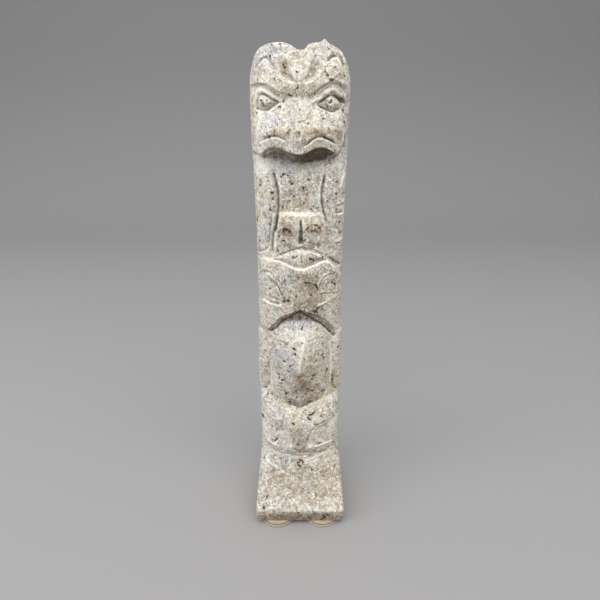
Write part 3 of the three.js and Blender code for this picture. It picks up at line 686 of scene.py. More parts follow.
def outline(column, z):
    """The plain block's outline at a column and level: x, y and the way the surface faces."""
    hand = np.where(column < 0, -1.0, 1.0)
    half = half_width(z)
    front = -plain_reach(z)
    rounding = front_round(z)
    x = np.zeros_like(z)
    y = np.zeros_like(z)
    facing = np.zeros_like(z)
    done = 0
    for name, steps in ROUTE:
        here = (np.abs(column) >= done) & (np.abs(column) <= done + steps)
        part = ((np.abs(column) - done) / steps)[here]
        h, f, r = half[here], front[here], rounding[here]
        turn = part * math.pi / 2
        if name == "face":
            place = part * (h - r), f, 0
        elif name == "front_corner":
            place = h - r * (1 - np.sin(turn)), f + r * (1 - np.cos(turn)), turn
        elif name == "side":
            place = h, mix(f + r, BACK - BACK_ROUND, part), math.pi / 2
        elif name == "back_corner":
            place = (h - BACK_ROUND * (1 - np.cos(turn)), BACK - BACK_ROUND * (1 - np.sin(turn)),
                     math.pi / 2 + turn)
        else:
            place = (1 - part) * (h - BACK_ROUND), BACK, math.pi
        x[here], y[here], facing[here] = place
        done += steps
    return hand * x, y, hand * np.sin(facing), -np.cos(facing)


def carved(column, z):
    """A point of the carved skin at a column and level."""
    x, y, nx, ny = outline(column, z)
    carry = (front_reach(x, z) - plain_reach(z)) * np.maximum(0, -ny)
    lift = surface_height(x, y, z) * (ny <= 0.5)
    return x + nx * lift, y - carry + ny * lift, z


# ---- the net: rows up the block ----


def level(height):
    return lambda x: np.full_like(x, height)


def beside(line, offset):
    """The line moved up or down by an offset, measured square to it."""
    return lambda x: line(x) + offset * np.hypot(1, lean_of(line, x))


# Each band ends on a line and has so many rows. In a cove the rows crowd towards the lip.
EVEN, CROWDED = 0, 1
BANDS = (
    (level(7), 6, EVEN), (level(10.8), 7, EVEN), (level(SLAB_EDGE), 9, EVEN),
    (beside(chin_line, -0.5), 46, EVEN), (beside(chin_line, 1.2), 8, EVEN),
    (beside(low_brow_top, -1.2), 76, EVEN), (beside(low_brow_top, 0.3), 8, EVEN),
    (lambda x: beside(beak_arch, arch_hollow(x))(x), 100, EVEN), (beside(beak_arch, 0.2), 14, CROWDED),
    (beside(middle_head_top, -1.5), 68, EVEN), (beside(middle_head_top, 0.4), 8, EVEN),
    (lambda x: np.maximum(tongue_top(x), middle_head_top(x) + 2) + 0.5, 22, EVEN),
    (level(BLOCK_TOP[0]), 38, EVEN), (level(BLOCK_TOP[1]), 8, EVEN),
    (jaw_under, 50, EVEN), (mouth_edge, 16, CROWDED), (beside(lip_fold, 1.2), 12, EVEN),
    (level(246), 22, EVEN), (beside(brow_under, -1.4), 24, EVEN), (beside(brow_under, 0.5), 9, CROWDED))
BODY_FOOT = UNDERSIDE + FOOT_ROUND
BODY_ROWS = sum(rows for _, rows, _ in BANDS)
CROWN_ROWS, ROUND_ROWS, LID_ROWS, FOOT_ROWS = 44, 10, 14, 6
ROWS = FOOT_ROWS + BODY_ROWS + CROWN_ROWS + ROUND_ROWS + LID_ROWS


def row_level(row, x):
    """The level of a body row at a place across the front. The rows follow the carved edges."""
    z = np.full_like(x, BODY_FOOT)
    done = 0
    low = level(BODY_FOOT)
    for high, rows, crowding in BANDS:
        here = (row > done) & (row <= done + rows)
        share = (row[here] - done) / rows
        share = np.sin(share * math.pi / 2) if crowding == CROWDED else share
        z[here] = mix(low(x[here]), high(x[here]), share)
        low = high
        done += rows
    return z


def crown_top(x, y):
    """The top: its lobes and notch run back and fade into a plain, slightly lower top."""
    plain = 274.5 - 4 * (x / 22) ** 4
    knob = 1.15 * cut(x - KNOB[0], 1.35) * cut(y - KNOB[1], 2.6)
    return mix(crown_line(x), plain, step(y, 4, 20)) + knob


def body_point(column, row):
    middle_level = row_level(row, np.zeros_like(row))
    return carved(column, row_level(row, outline(column, middle_level)[0]))


def crown_point(column, row):
    last = np.full_like(row, BODY_ROWS)
    brow_z = row_level(last, np.zeros_like(row))
    rim_x, rim_y = outline(column, brow_z)[:2]
    rim_top = mix(crown_line(rim_x), crown_top(rim_x, rim_y), step(rim_y, 4, 20)) - CROWN_ROUND
    z = mix(row_level(last, rim_x), rim_top, np.minimum(1, row / CROWN_ROWS))
    x, y, z = carved(column, z)
    turn = np.clip((row - CROWN_ROWS) / ROUND_ROWS, 0, 1) * math.pi / 2
    lid = np.maximum(0, (row - CROWN_ROWS - ROUND_ROWS) / LID_ROWS)
    reach = np.hypot(x, y - AXIS_Y)
    keep = (1 - CROWN_ROUND * (1 - np.cos(turn)) / reach) * (1 - lid)
    over = row > CROWN_ROWS
    x = np.where(over, x * keep, x)
    y = np.where(over, AXIS_Y + (y - AXIS_Y) * keep, y)
    return x, y, np.where(over, crown_top(x, y) - CROWN_ROUND * (1 - np.sin(turn)), z)


def foot_point(column, row):
    x, y, _ = carved(column, np.full_like(row, BODY_FOOT))
    edge_rows = FOOT_ROWS - 2
    turn = np.minimum(1, (FOOT_ROWS - row) / edge_rows) * math.pi / 2
    keep = 1 - FOOT_ROUND * (1 - np.cos(turn)) / np.hypot(x, y - AXIS_Y)
    keep = keep * np.where(row >= FOOT_ROWS - edge_rows, 1, row / (FOOT_ROWS - edge_rows))
    return x * keep, AXIS_Y + (y - AXIS_Y) * keep, BODY_FOOT - FOOT_ROUND * np.sin(turn)


# The net starts as a globe: its rows run from the pole underneath to the pole on top.
net = bmesh.new()
bmesh.ops.create_uvsphere(net, u_segments=2 * HALF_COLUMNS, v_segments=ROWS, radius=1)
stone_data = bpy.data.meshes.new("carved_stone")
net.to_mesh(stone_data)
net.free()
globe = np.empty(len(stone_data.vertices) * 3)
stone_data.vertices.foreach_get("co", globe)
globe = globe.reshape(-1, 3)
row = np.round((1 - np.arccos(np.clip(globe[:, 2], -1, 1)) / math.pi) * ROWS)
turned = np.arctan2(globe[:, 0], -globe[:, 1])
column = np.round(turned / math.pi * HALF_COLUMNS)
skin = np.empty_like(globe)
for lowest, highest, shape, start in (
        (0, FOOT_ROWS - 1, foot_point, 0),
        (FOOT_ROWS, FOOT_ROWS + BODY_ROWS, body_point, FOOT_ROWS),
        (FOOT_ROWS + BODY_ROWS + 1, ROWS, crown_point, FOOT_ROWS + BODY_ROWS)):
    here = (row >= lowest) & (row <= highest)
    skin[here] = np.stack(shape(column[here], row[here] - start), axis=1)
stone_data.vertices.foreach_set("co", (skin * MM).ravel())
stone_data.update()
totem = bpy.data.objects.new("carved_stone", stone_data)
bpy.context.collection.objects.link(totem)
stone_data.shade_smooth()


# ---- where the stone is stained, pale, warm or dark, and where light and shade are painted, stored on the skin for its colour ----

# Dark mineral grains in the front: place across and up, and radius.
GRAINS = (
    # crown and brow
    (15.4, 261.2, 0.95), (14.3, 260.9, 0.5), (-13.8, 277, 0.6), (-12.8, 275.8, 0.5), (-9.6, 277.5, 0.5),
    (13.8, 275.6, 0.6), (-14.4, 271.6, 0.7), (-8.1, 268, 0.75), (-7.4, 266.8, 0.7), (-1.4, 264.6, 0.6),
    (13.2, 263.4, 0.75), (12.2, 264.8, 0.5), (16.6, 266.8, 0.5), (21.8, 263, 0.55), (-12.4, 261.6, 0.45),
    (-20.6, 261.4, 0.5), (-1.2, 257.3, 0.65), (-4.5, 254.1, 0.6), (-5.4, 254.6, 0.4), (-10.4, 254.5, 0.5),
    (7.6, 272, 0.5), (-7, 273.4, 0.4), (3.2, 255.4, 0.4), (-14.2, 256.6, 0.4), (6.4, 258.2, 0.4),
    # eyes, beak and lips
    (-10.2, 249.2, 0.65), (-19.1, 252.1, 0.65), (-18.5, 250.7, 0.5), (-18, 249.6, 0.4),
    (-16.4, 252.1, 0.5), (-15, 250.8, 0.35), (-21.4, 248.6, 0.5), (15.4, 252.1, 0.6), (16.6, 250, 0.45),
    (14.6, 250.8, 0.5), (13.4, 250, 0.35), (15, 248.6, 0.35), (3.8, 241.4, 0.6), (11.4, 243.7, 0.7),
    (22.3, 242.2, 0.7), (21.4, 247.6, 0.65), (-12, 243, 0.5), (-19, 239.8, 0.4), (-0.4, 242, 0.5),
    (0, 247.4, 0.5), (-21.6, 246.6, 0.55), (-5.4, 238.2, 0.75), (-6.3, 237.2, 0.5), (-15.2, 235, 0.95),
    (-12.6, 235.8, 0.6), (-0.6, 237, 0.6), (12, 235.3, 0.6), (10.4, 236.6, 0.4), (15.4, 230.8, 0.6),
    (20.4, 230.4, 0.6), (-20, 231.2, 0.6), (7.4, 239.2, 0.4), (-8.8, 240.6, 0.4),
    # chest
    (-5.4, 213.3, 0.6), (-4.2, 212.2, 0.9), (4.8, 213.9, 0.9), (1.8, 209.6, 0.8), (2.2, 201.8, 0.7),
    (6, 198.6, 0.5), (-3.4, 197.9, 0.5), (-5.6, 203.2, 0.5), (8, 204.2, 0.5), (-8.6, 216.8, 0.75),
    (-6.4, 216.2, 0.5), (-10, 215.6, 0.5), (3.6, 206.4, 0.4), (-9.4, 200.8, 0.4), (8.6, 210.4, 0.4),
    # wings
    (-21, 213.8, 0.6), (-21.2, 211, 0.8), (-18.4, 208.2, 0.5), (-14.9, 207.3, 0.85), (-14.3, 204.4, 0.75),
    (-15.8, 198.8, 0.9), (-16.4, 201.6, 0.45), (-19.8, 196.5, 0.65), (-16.4, 190.6, 0.5),
    (-23.8, 192, 0.6), (-22.4, 180.6, 0.5), (-17.4, 183.6, 0.5), (-17.6, 215.6, 0.5),
    (-22.6, 202.4, 0.45), (12.4, 213.3, 0.6), (11.8, 203, 0.5), (19.2, 213, 0.55), (19.4, 206.8, 0.6),
    (14.6, 203.2, 0.5), (17.8, 203.8, 0.5), (19.6, 198.6, 0.55), (21.8, 191.4, 0.65), (16.3, 187.4, 0.5),
    (18.3, 189.2, 0.45), (24, 207, 0.65), (24.6, 218, 0.5), (22.4, 185.4, 0.45), (16.4, 209.4, 0.45),
    (-19.6, 187.4, 0.4),
    # block and tongue
    (-7.6, 188.2, 1.45), (-6, 187.6, 0.9), (-9.2, 187, 0.5), (8.6, 190.4, 0.7), (10.4, 188.8, 0.7),
    (6.2, 187.5, 0.65), (8, 187.8, 0.55), (11, 187, 0.45), (2.5, 182.3, 0.8), (-11.6, 184.6, 0.65),
    (-3.6, 172.7, 0.6), (-2, 173.3, 0.4), (5.8, 172, 0.65), (7.4, 171, 0.5), (9, 173, 0.4),
    (12.6, 172.4, 0.6), (0.8, 170.2, 0.5), (9.6, 180.2, 0.45), (-12.4, 176.4, 0.65), (-8.4, 179.4, 0.45),
    (5.4, 181, 0.4),
    # middle head
    (3.2, 158.8, 0.6), (5.2, 160, 0.35), (9.2, 156.6, 1.05), (9.8, 154.4, 0.4), (-9, 147.7, 0.95),
    (-8.8, 149.6, 0.5), (-6.5, 148.3, 0.9), (19.7, 156.7, 1.0), (-16.9, 154.8, 0.7), (6.4, 151.3, 0.6),
    (2.6, 150.8, 0.4), (-2.1, 150.6, 0.55), (-0.1, 153.6, 0.5), (9, 141.4, 1.1), (9.6, 142.8, 0.6),
    (8.6, 139.4, 0.65), (10.6, 144.2, 0.45), (5.4, 138.9, 0.6), (10.8, 138.2, 0.5), (2.6, 147, 0.4),
    (-19.8, 151, 0.4), (-18.9, 166.8, 0.5), (-11.5, 160, 0.4), (0, 136, 0.9), (18.4, 131.4, 0.5),
    (-4.8, 158.4, 0.4), (13.6, 166.4, 0.4), (-13.6, 135.4, 0.5),
    # belly
    (1.2, 130.4, 0.85), (1.8, 122.3, 0.65), (-3.3, 118.4, 0.95), (-2.8, 115.4, 0.85), (13.4, 119.5, 0.75),
    (13.4, 113, 0.95), (13.9, 111, 0.6), (-9.4, 109.4, 0.85), (-5.8, 106.7, 0.8), (8.6, 99.6, 1.15),
    (7.2, 96.9, 0.8), (-13, 99, 0.9), (-12.8, 96.2, 0.75), (-10.8, 95.2, 0.9), (-11.9, 92.5, 0.8),
    (-7.2, 102.8, 0.6), (16.4, 101.6, 0.8), (15.6, 96.4, 0.6), (14.2, 86.2, 1.0), (4.6, 89, 0.9),
    (7.6, 87.2, 0.65), (-21.2, 112.8, 0.65), (23.4, 114.6, 0.7), (23.6, 94.2, 0.6), (-22.6, 90.6, 0.5),
    (-8.5, 84.6, 0.95), (-2.2, 81.6, 0.8), (-2, 86.8, 0.6), (-4.6, 129.6, 0.45), (9.8, 128.4, 0.45),
    (-7.8, 120.6, 0.6), (-11.4, 119.6, 0.4), (10.6, 105, 0.4), (-6.3, 77.2, 1.05), (-3, 74.8, 0.9),
    (6.5, 77.9, 1.05), (1, 91.4, 0.45), (-17.6, 83, 0.8), (-20.4, 82.2, 0.7), (-4.4, 94.8, 0.4),
    (11, 92.2, 0.45), (3, 79.6, 0.5), (-9.8, 89.4, 0.45),
    # lowest head and ramp
    (8.2, 71.3, 0.95), (6.6, 69.9, 0.8), (5.8, 67.8, 1.1), (13.4, 70.2, 0.75), (14.1, 69.1, 0.5),
    (10, 64.4, 0.75), (-4.2, 64.6, 0.95), (-24.2, 64.6, 1.0), (2.6, 44.6, 0.9), (-1.2, 47.8, 0.8),
    (-3.6, 53, 0.6), (-1.4, 55.8, 0.4), (12.6, 48.4, 0.6), (-1, 33.6, 0.8), (0.3, 34.9, 0.75),
    (1.8, 34.1, 0.75), (1.9, 32.6, 0.7), (0.6, 31.6, 0.75), (-0.8, 31.9, 0.85), (7.7, 29.6, 0.7),
    (22.6, 31.4, 0.6), (-17.4, 29.4, 0.6), (-16.6, 38, 0.6), (-23, 13.4, 0.95), (-21.3, 17.8, 0.75),
    (-12, 61, 0.45), (-18, 60.2, 0.45), (17, 66.4, 0.5),
    # the slab's front edge
    (15.4, 7, 1.5), (14.4, 5.2, 1.1), (17.6, 8.6, 0.9), (5.8, 6, 0.75), (13.4, 4, 0.7), (-1, 10, 0.8),
    (0.4, 8, 0.8), (-10.6, 10.2, 0.6), (-6, 9.8, 0.6), (-2, 11.4, 0.5), (-1.6, 5.6, 0.6), (9.2, 8.8, 0.5),
    (20.6, 5.4, 0.5), (-16, 5.6, 0.5))
# Dark veins, and strokes that dirt has filled: the way each runs, and its half width.
VEINS = (
    (((2.5, 187.2), (3.6, 188.4), (5.2, 190)), 0.6),
    (((5, 190), (6.6, 190.8), (8.4, 190.6), (9.8, 189.6)), 0.35),
    (((-10.4, 182.3), (-9, 182), (-7.6, 182.1)), 0.65),
    (((1.4, 209.2), (2.2, 210.2), (3.2, 211.2)), 0.4),
    (((2.6, 158.9), (4.2, 158.9), (6, 158.4), (7.6, 157.8), (9.2, 156.6), (9.9, 154)), 0.5),
    (((17.2, 158.3), (18.6, 157.6), (20.4, 156.5)), 0.5),
    (((-14.2, 159.8), (-13, 158), (-11.5, 154.8), (-10.2, 151.8), (-9, 149.2), (-7.8, 148.4)), 0.28),
    (((11.8, 144.9), (10.4, 143.4), (9.2, 141.4), (8.4, 139.4)), 0.5),
    (((4.4, 76.6), (5.8, 77.4), (7.2, 78.2)), 0.55),
    (((-17, 48.3), (-15.7, 50), (-14.5, 51.9)), 0.45), (((-8.4, 251), (-7.9, 252.1), (-7.3, 253.2)), 0.42),
    (((-11.1, 63.8), (-10, 61.8), (-9.2, 59.8)), 0.35))
# Broad tones: middle across and up, half size across and up, and strength. The pale tones are partly paler
# stone and partly painted highlight; the dark ones are partly stains and partly painted shade.
PALE_AND_HIGHLIGHT = (
    (0, 219, 40, 3, 0.45), (-17, 222.6, 7, 2.2, 0.6), (19, 222.6, 4, 1.8, 0.6),
    (-16.8, 267.4, 2.2, 2.2, 0.7), (17.2, 267.6, 2, 2.2, 0.6), (-13, 252, 9, 5, 0.4),
    (7, 250, 11, 4.5, 0.5), (-16, 257, 7, 1.6, 0.35), (15, 257, 6, 1.2, 0.35),
    (-0.3, 266, 3.6, 4.4, 0.45), (0.5, 196.4, 11.5, 1.1, 0.9), (0, 193.6, 11, 2, 0.4),
    (-20, 240, 4, 20, 0.5), (-16, 171.2, 9, 1.1, 0.5), (0.5, 165.6, 8, 0.8, 0.3), (0, 126, 16, 5, 0.6),
    (1.8, 118, 1.2, 7, 0.6), (0, 107, 1.2, 6, 0.6), (22, 122, 3, 14, 0.6), (-22, 118, 3, 20, 0.4),
    (-18.4, 90, 1.2, 7, 0.6), (0, 75.6, 4, 1.6, 0.4), (0, 71, 26, 4.6, 0.22), (20, 80.6, 5, 3.4, 0.6),
    (-21.4, 82, 4, 3, 0.7), (-20.6, 86.4, 2.4, 2, 0.4), (22.5, 206, 3, 16, 0.4), (-21, 200, 4, 25, 0.35),
    (-20, 158, 4, 8, 0.3), (0.6, 175, 4, 1.6, 0.6), (-15, 147.8, 4.4, 1.5, 0.5),
    (-13, 56.4, 4.4, 1.8, 0.6), (-18.2, 53.4, 1.8, 1, 0.6), (-23, 57, 2, 8, 0.4), (22, 62, 2.4, 6, 0.5),
    (-9, 50, 3, 3.6, 0.35), (0, 12.2, 40, 1.5, 0.7), (10, 32, 9, 3, 0.2))
DIRT_AND_SHADE = (
    (-7.5, 188.4, 4.5, 4, 0.5), (7.6, 188.6, 5, 3.6, 0.4), (0, 184, 12, 5, 0.25),
    (-8, 178.6, 5, 2.4, 0.4), (8, 179.4, 5, 2.4, 0.35), (9, 171.6, 4.4, 1.4, 0.5), (3, 157, 7, 5, 0.3),
    (10, 150, 6, 10, 0.3), (4, 163.4, 7, 2.2, 0.3), (2, 145, 9, 4, 0.35), (9, 139.4, 5, 3, 0.4),
    (2, 94, 8, 9, 0.55), (7, 106, 5, 8, 0.2), (0.6, 98, 2, 4, 0.12), (1, 86, 15, 6, 0.3),
    (0, 257, 12, 2.4, 0.35), (6.4, 258.4, 3, 2, 0.35), (-7.6, 266.6, 3.2, 4.4, 0.45),
    (-6, 263.6, 2, 1.6, 0.4), (6.4, 264.6, 1.8, 2.8, 0.5), (13.4, 264.4, 3.6, 2.4, 0.35),
    (0.6, 260.4, 3, 0.8, 0.4), (-17.4, 250.8, 3.8, 2.6, 0.6), (15, 250.6, 3.6, 2.4, 0.5),
    (10, 252.8, 2.2, 1.6, 0.4), (21, 252.5, 1.7, 1.9, 1.0), (16, 255.8, 1.6, 0.9, 0.5),
    (0, 206, 10, 9, 0.3), (15.6, 204, 2, 5, 0.35), (-13.6, 202, 1.6, 12, 0.4), (-16, 203, 1, 5, 0.3),
    (-21.5, 98, 2.4, 9, 0.35), (21.5, 95, 2.4, 8, 0.35), (-2.7, 243, 0.8, 8, 0.45),
    (10, 237.3, 9.8, 1.5, 0.75), (-11, 237, 5.6, 1.4, 0.5), (19.6, 236, 1.8, 3, 0.5), (0, 51, 6, 9, 0.4),
    (0, 60, 5, 5, 0.15), (8, 41, 10, 2.4, 0.4), (-8, 40.8, 6, 1.6, 0.25), (-17.4, 50.4, 3, 1.6, 0.4),
    (12.6, 47.9, 4, 1.3, 0.45), (15, 63.4, 4, 1.8, 0.5), (0, 5.4, 40, 4.4, 0.9), (0, 24, 40, 13, 0.55),
    (0, 155, 30, 16, 0.25), (0, 186, 30, 12, 0.15))
# Warm tones count up, cool ones count down.
TINTED = (
    (-7, 188.6, 5, 4, 0.9), (8, 188.6, 5, 4, 0.8), (1, 193, 10, 2.6, 0.7), (1, 118, 1.8, 11, 1.0),
    (1, 98, 3, 6, 0.4), (7.5, 109, 6, 11, 0.4), (-5.5, 124.6, 2.6, 2, 0.9), (-1.5, 56, 3.5, 8, 0.5),
    (-7.5, 267, 4, 5, 0.5), (9.5, 237.4, 10, 2, 1.1), (10, 231.6, 6, 1.6, 0.9), (-12, 231.8, 5, 1.4, 0.6),
    (-11, 238, 6, 2.2, 0.7), (19.5, 236, 1.8, 3.2, 1.2), (14, 92, 9, 26, 0.45), (18, 150, 7, 10, 0.5),
    (4, 153, 6, 7, 0.4), (2, 168.4, 3, 1, 0.5), (0, 72, 16, 4.6, 0.5), (11, 48.4, 5, 2, 0.35),
    (8, 42, 9, 2.4, 0.3), (0, 206, 12, 10, 0.35), (0, 257, 16, 4, 0.4), (22, 24, 6, 8, 0.4),
    (0, 12, 30, 1.6, 0.5), (-21.5, 97, 2.6, 9, 0.8), (21.5, 95, 2.6, 8, 0.9), (-16.4, 203, 1.6, 6, 0.7),
    (16.2, 255.6, 2, 1.2, 0.8), (-8, 156, 6, 8, -0.6), (-21.5, 158, 3.5, 9, -0.7),
    (-11, 113, 8, 14, -0.5), (-17, 246, 6, 7, -0.6), (-18, 271, 6, 4, -0.6), (-15, 59, 8, 7, -0.7),
    (-14, 34, 9, 6, -0.6), (-18, 192, 5, 18, -0.35), (0, 219.6, 26, 4, -0.5), (-16, 172, 8, 3, -0.5),
    (0, 132, 12, 4, -0.6), (-14, 226, 7, 3, -0.8), (8.6, 171.8, 4, 1.4, -0.6), (0, 24, 30, 12, 0.2),
    (-6, 33, 6, 5, -0.4))


def broad(x, z, tones):
    """The sum of broad soft-edged tones on the front."""
    total = np.zeros_like(x)
    for middle_x, middle_z, half_x, half_z, strength in tones:
        total += strength * np.exp(
            -(((x - middle_x) / half_x) ** 2) ** 1.4 - (((z - middle_z) / half_z) ** 2) ** 1.4)
    return total


def painted_shade_share(x, z):
    """Painted shade: how dark a place is painted in the mouth, the arch, the split, and in the shade of beak
    and brow.
    """
    mouth = step(z, jaw_under(x) - 2.2, jaw_under(x) + 1) * (
        1 - step(z, mouth_edge(x) - 0.3, mouth_edge(x) + 0.2))
    mouth *= (1 - step(np.abs(x + 0.6), 17.8, 20.8)) * mix(0.55, 0.85, step(x, -8, 3))
    roof = above(beak_arch, x, z)
    under = np.clip(roof / arch_hollow(x), 0, 1.2)
    arch = step(under, 0, 0.15) * (0.75 + 0.25 * under) * (1 - step(under, 1, 1.2)) * (
        1 - step(np.abs(x - 1.2), 19.4, 22))
    fall = arch_hollow(x) - roof
    shade = step(fall, -0.5, 0.5) * step(z, belly_shade(x) - 0.6, belly_shade(x) + 0.7)
    seam = cut(fall, 0.6) * (1 - step(np.abs(x - 1), 18, 21))
    brow = 0.36 * cut(above(brow_under, x, z) + 1, 1.1) * step(x, 6, 11) * (1 - step(x, 22, 25))
    opening = mix(1.0, 0.4, step(z, 181, 193))
    split = (1 - step(np.abs(x - 0.5), opening - 0.2, opening + 0.6)) * within(z, SPLIT[0], SPLIT[1] - 2, 0.8)
    return np.clip(mouth + 0.5 * arch + 0.6 * shade + 0.35 * seam + 0.55 * split + brow, 0, 1)


def store(data, name, values):
    attribute = data.attributes.new(name, "FLOAT", "POINT")
    attribute.data.foreach_set("value", values.astype(np.float32))


across, behind, up_block = skin.T
on_front = 1 - step(behind, 0, 8)
# Each grain is longer than it is broad, and lies its own way.
GRAIN_LONG, GRAIN_BROAD, GRAIN_TURN = 1.7, 0.95, 2.4
dark = np.zeros_like(across)
for count, (grain_x, grain_z, radius) in enumerate(GRAINS):
    turn = GRAIN_TURN * count
    off_x, off_z = across - grain_x, up_block - grain_z
    along = (off_x * math.cos(turn) + off_z * math.sin(turn)) / (GRAIN_LONG * radius)
    over = (off_z * math.cos(turn) - off_x * math.sin(turn)) / (GRAIN_BROAD * radius)
    dark = np.maximum(dark, np.exp(-along ** 2 - over ** 2))
for points, half_vein in VEINS:
    dark = np.maximum(dark, -engraved(across, up_block, points, half_vein, 0.95, 0))
store(stone_data, "grains", dark * on_front)
pale = broad(across, up_block, PALE_AND_HIGHLIGHT)
dirt_and_shade = broad(across, up_block, DIRT_AND_SHADE)
# Painted highlight: the leaves are palest along their sharp inner edges, the right one (hand 1) the most.
for hand, inner, under in LEAVES:
    leaf = leaf_share(across, up_block, hand, inner, under, 0.3)
    deep_in = -above(inner, np.abs(across), up_block)
    painted_edge_highlight = leaf * (1 - step(deep_in, 1.5, 5 + hand))
    pale += 0.28 * leaf + (0.52 + 0.13 * hand) * painted_edge_highlight
    dirt_and_shade *= 1 - 0.9 * painted_edge_highlight
# Painted shade: the belly's foot is darkened down to the brow's upper edge, where the pale brow begins.
over_brow = above(low_brow_top, across, up_block)
belly_foot_shade = step(over_brow, -0.4, 0.3) * (1 - step(over_brow, 2, 8))
dirt_and_shade += 0.72 * belly_foot_shade * (1 - step(np.abs(across), 4, 15))
pale *= 1 - belly_foot_shade
# Painted highlight on the raised lid above each eye.
for lid, upper, leftmost, rightmost in (
        (RIGHT_LID, RIGHT_UPPER, 6, 22.6), (LEFT_LID, LEFT_UPPER, -23.4, -9)):
    beside_eye = (across > leftmost) & (across < rightmost)
    pale += 0.42 * step(lens(across, up_block, lid, upper), 0.2, 1.0) * beside_eye
# Painted highlight along the brow band's upper edge, near the middle.
pale += 0.5 * cut(above(brow_top, across, up_block) + 0.4, 0.4) * (1 - step(np.abs(across), 9, 13))
# Painted highlight: the belly is palest just outside the beak's shade, on both sides.
out_of_shade = belly_shade(across) - up_block
pale += 0.6 * step(out_of_shade, 0, 1) * (1 - step(out_of_shade, 1, 4)) * within(np.abs(across - 1), 9, 20, 2)
store(stone_data, "pale", pale * on_front)
store(stone_data, "dirt_and_shade", dirt_and_shade * on_front)
store(stone_data, "painted_shade", painted_shade_share(across, up_block) * on_front)
# Painted shade and painted highlight: a cut darkens with its depth and a bank brightens with its height, each
# up to a limit.
GROOVE_SHADE_DEPTH, GROOVE_SHADE_MOST, BANK_HIGHLIGHT_HEIGHT = 1.7, 0.72, 0.4
lines = chisel_lines(across, up_block)
store(stone_data, "groove_shade", np.clip(-lines / GROOVE_SHADE_DEPTH, 0, GROOVE_SHADE_MOST) * on_front)
store(stone_data, "bank_highlight", np.clip(lines / BANK_HIGHLIGHT_HEIGHT, 0, 1) * on_front)
store(stone_data, "tint", broad(across, up_block, TINTED) * on_front)

# ---- the stone's colour: cream and grey crystals, dark grains and brown stains, with painted light and shade laid over them ----


def add(tree, kind, inputs=None, **settings):
    """A node of a kind, its settings, and its inputs given as plain values or other sockets."""
    made = tree.nodes.new(kind)
    for name, value in settings.items():
        setattr(made, name, value)
    for name, value in (inputs or {}).items():
        if isinstance(value, bpy.types.NodeSocket):
            tree.links.new(value, made.inputs[name])
        else:
            made.inputs[name].default_value = value
    return made


def soft_range(tree, value, low, high, to_low=0.0, to_high=1.0):
    """A value's place between low and high, with soft ends."""
    inputs = {"Value": value, "From Min": low, "From Max": high, "To Min": to_low, "To Max": to_high}
    return add(tree, "ShaderNodeMapRange", inputs, interpolation_type="SMOOTHSTEP").outputs["Result"]


def sums(tree, operation, a, b):
    return add(tree, "ShaderNodeMath", {0: a, 1: b}, operation=operation).outputs[0]


def paint(tree, share, under, over, blend="MIX"):
    """One colour laid over another by a share."""
    node = add(tree, "ShaderNodeMix", data_type="RGBA", blend_type=blend)
    places = {socket.name: socket for socket in node.inputs if socket.enabled}
    for name, value in (("Factor", share), ("A", under), ("B", over)):
        if isinstance(value, bpy.types.NodeSocket):
            tree.links.new(value, places[name])
        else:
            places[name].default_value = value if name == "Factor" else (*value, 1)
    return next(out for out in node.outputs if out.enabled)


def cloud(tree, where, size, detail=2.0, rough=0.5, shift=0.0, twist=0.0):
    """Soft noise with clouds of a size, in the same unit as the place."""
    moved = add(
        tree, "ShaderNodeVectorMath", {0: where, 1: (shift, shift, shift)}, operation="ADD").outputs[0]
    inputs = {"Vector": moved, "Scale": 1 / size, "Detail": detail, "Roughness": rough, "Distortion": twist}
    return add(tree, "ShaderNodeTexNoise", inputs).outputs["Fac"]


def stored(tree, name):
    return add(tree, "ShaderNodeAttribute", attribute_name=name).outputs["Fac"]


# Flecks: scattered ragged blobs of one size. Share is how many of the cells hold one.
flecks = bpy.data.node_groups.new("flecks", "ShaderNodeTree")
flecks.interface.new_socket("Place", in_out="INPUT", socket_type="NodeSocketVector")
for name, usual in (("Size", 2.0), ("Share", 0.3), ("Ragged", 0.5)):
    flecks.interface.new_socket(name, in_out="INPUT", socket_type="NodeSocketFloat").default_value = usual
flecks.interface.new_socket("Mask", in_out="OUTPUT", socket_type="NodeSocketFloat")
given = flecks.nodes.new("NodeGroupInput").outputs
shaken = add(flecks, "ShaderNodeTexNoise", {"Vector": given["Place"], "Scale": 0.9, "Detail": 2.0})
centred = add(flecks, "ShaderNodeVectorMath", {0: shaken.outputs["Color"], 1: (-0.5, -0.5, -0.5)})
scaled = add(
    flecks, "ShaderNodeVectorMath", {0: centred.outputs[0], "Scale": given["Ragged"]}, operation="SCALE")
placed = add(flecks, "ShaderNodeVectorMath", {0: given["Place"], 1: scaled.outputs[0]})
fine = sums(flecks, "DIVIDE", 1.0, given["Size"])
cells = add(flecks, "ShaderNodeTexVoronoi", {"Vector": placed.outputs[0], "Scale": fine})
chance = add(flecks, "ShaderNodeSeparateColor", {0: cells.outputs["Color"]}).outputs
held = sums(flecks, "LESS_THAN", chance[0], given["Share"])
spread = add(flecks, "ShaderNodeMath", {0: chance[1], 1: 0.28, 2: 0.14}, operation="MULTIPLY_ADD").outputs[0]
radius = sums(flecks, "MULTIPLY", held, spread)
mask = soft_range(flecks, cells.outputs["Distance"], radius, sums(flecks, "MULTIPLY", radius, 0.5))
leaving = flecks.nodes.new("NodeGroupOutput")
flecks.links.new(sums(flecks, "MULTIPLY", mask, held), leaving.inputs["Mask"])


def fleck_mask(tree, where, size, share, ragged):
    inputs = {"Place": where, "Size": size, "Share": share, "Ragged": ragged}
    return add(tree, "ShaderNodeGroup", inputs, node_tree=flecks).outputs["Mask"]


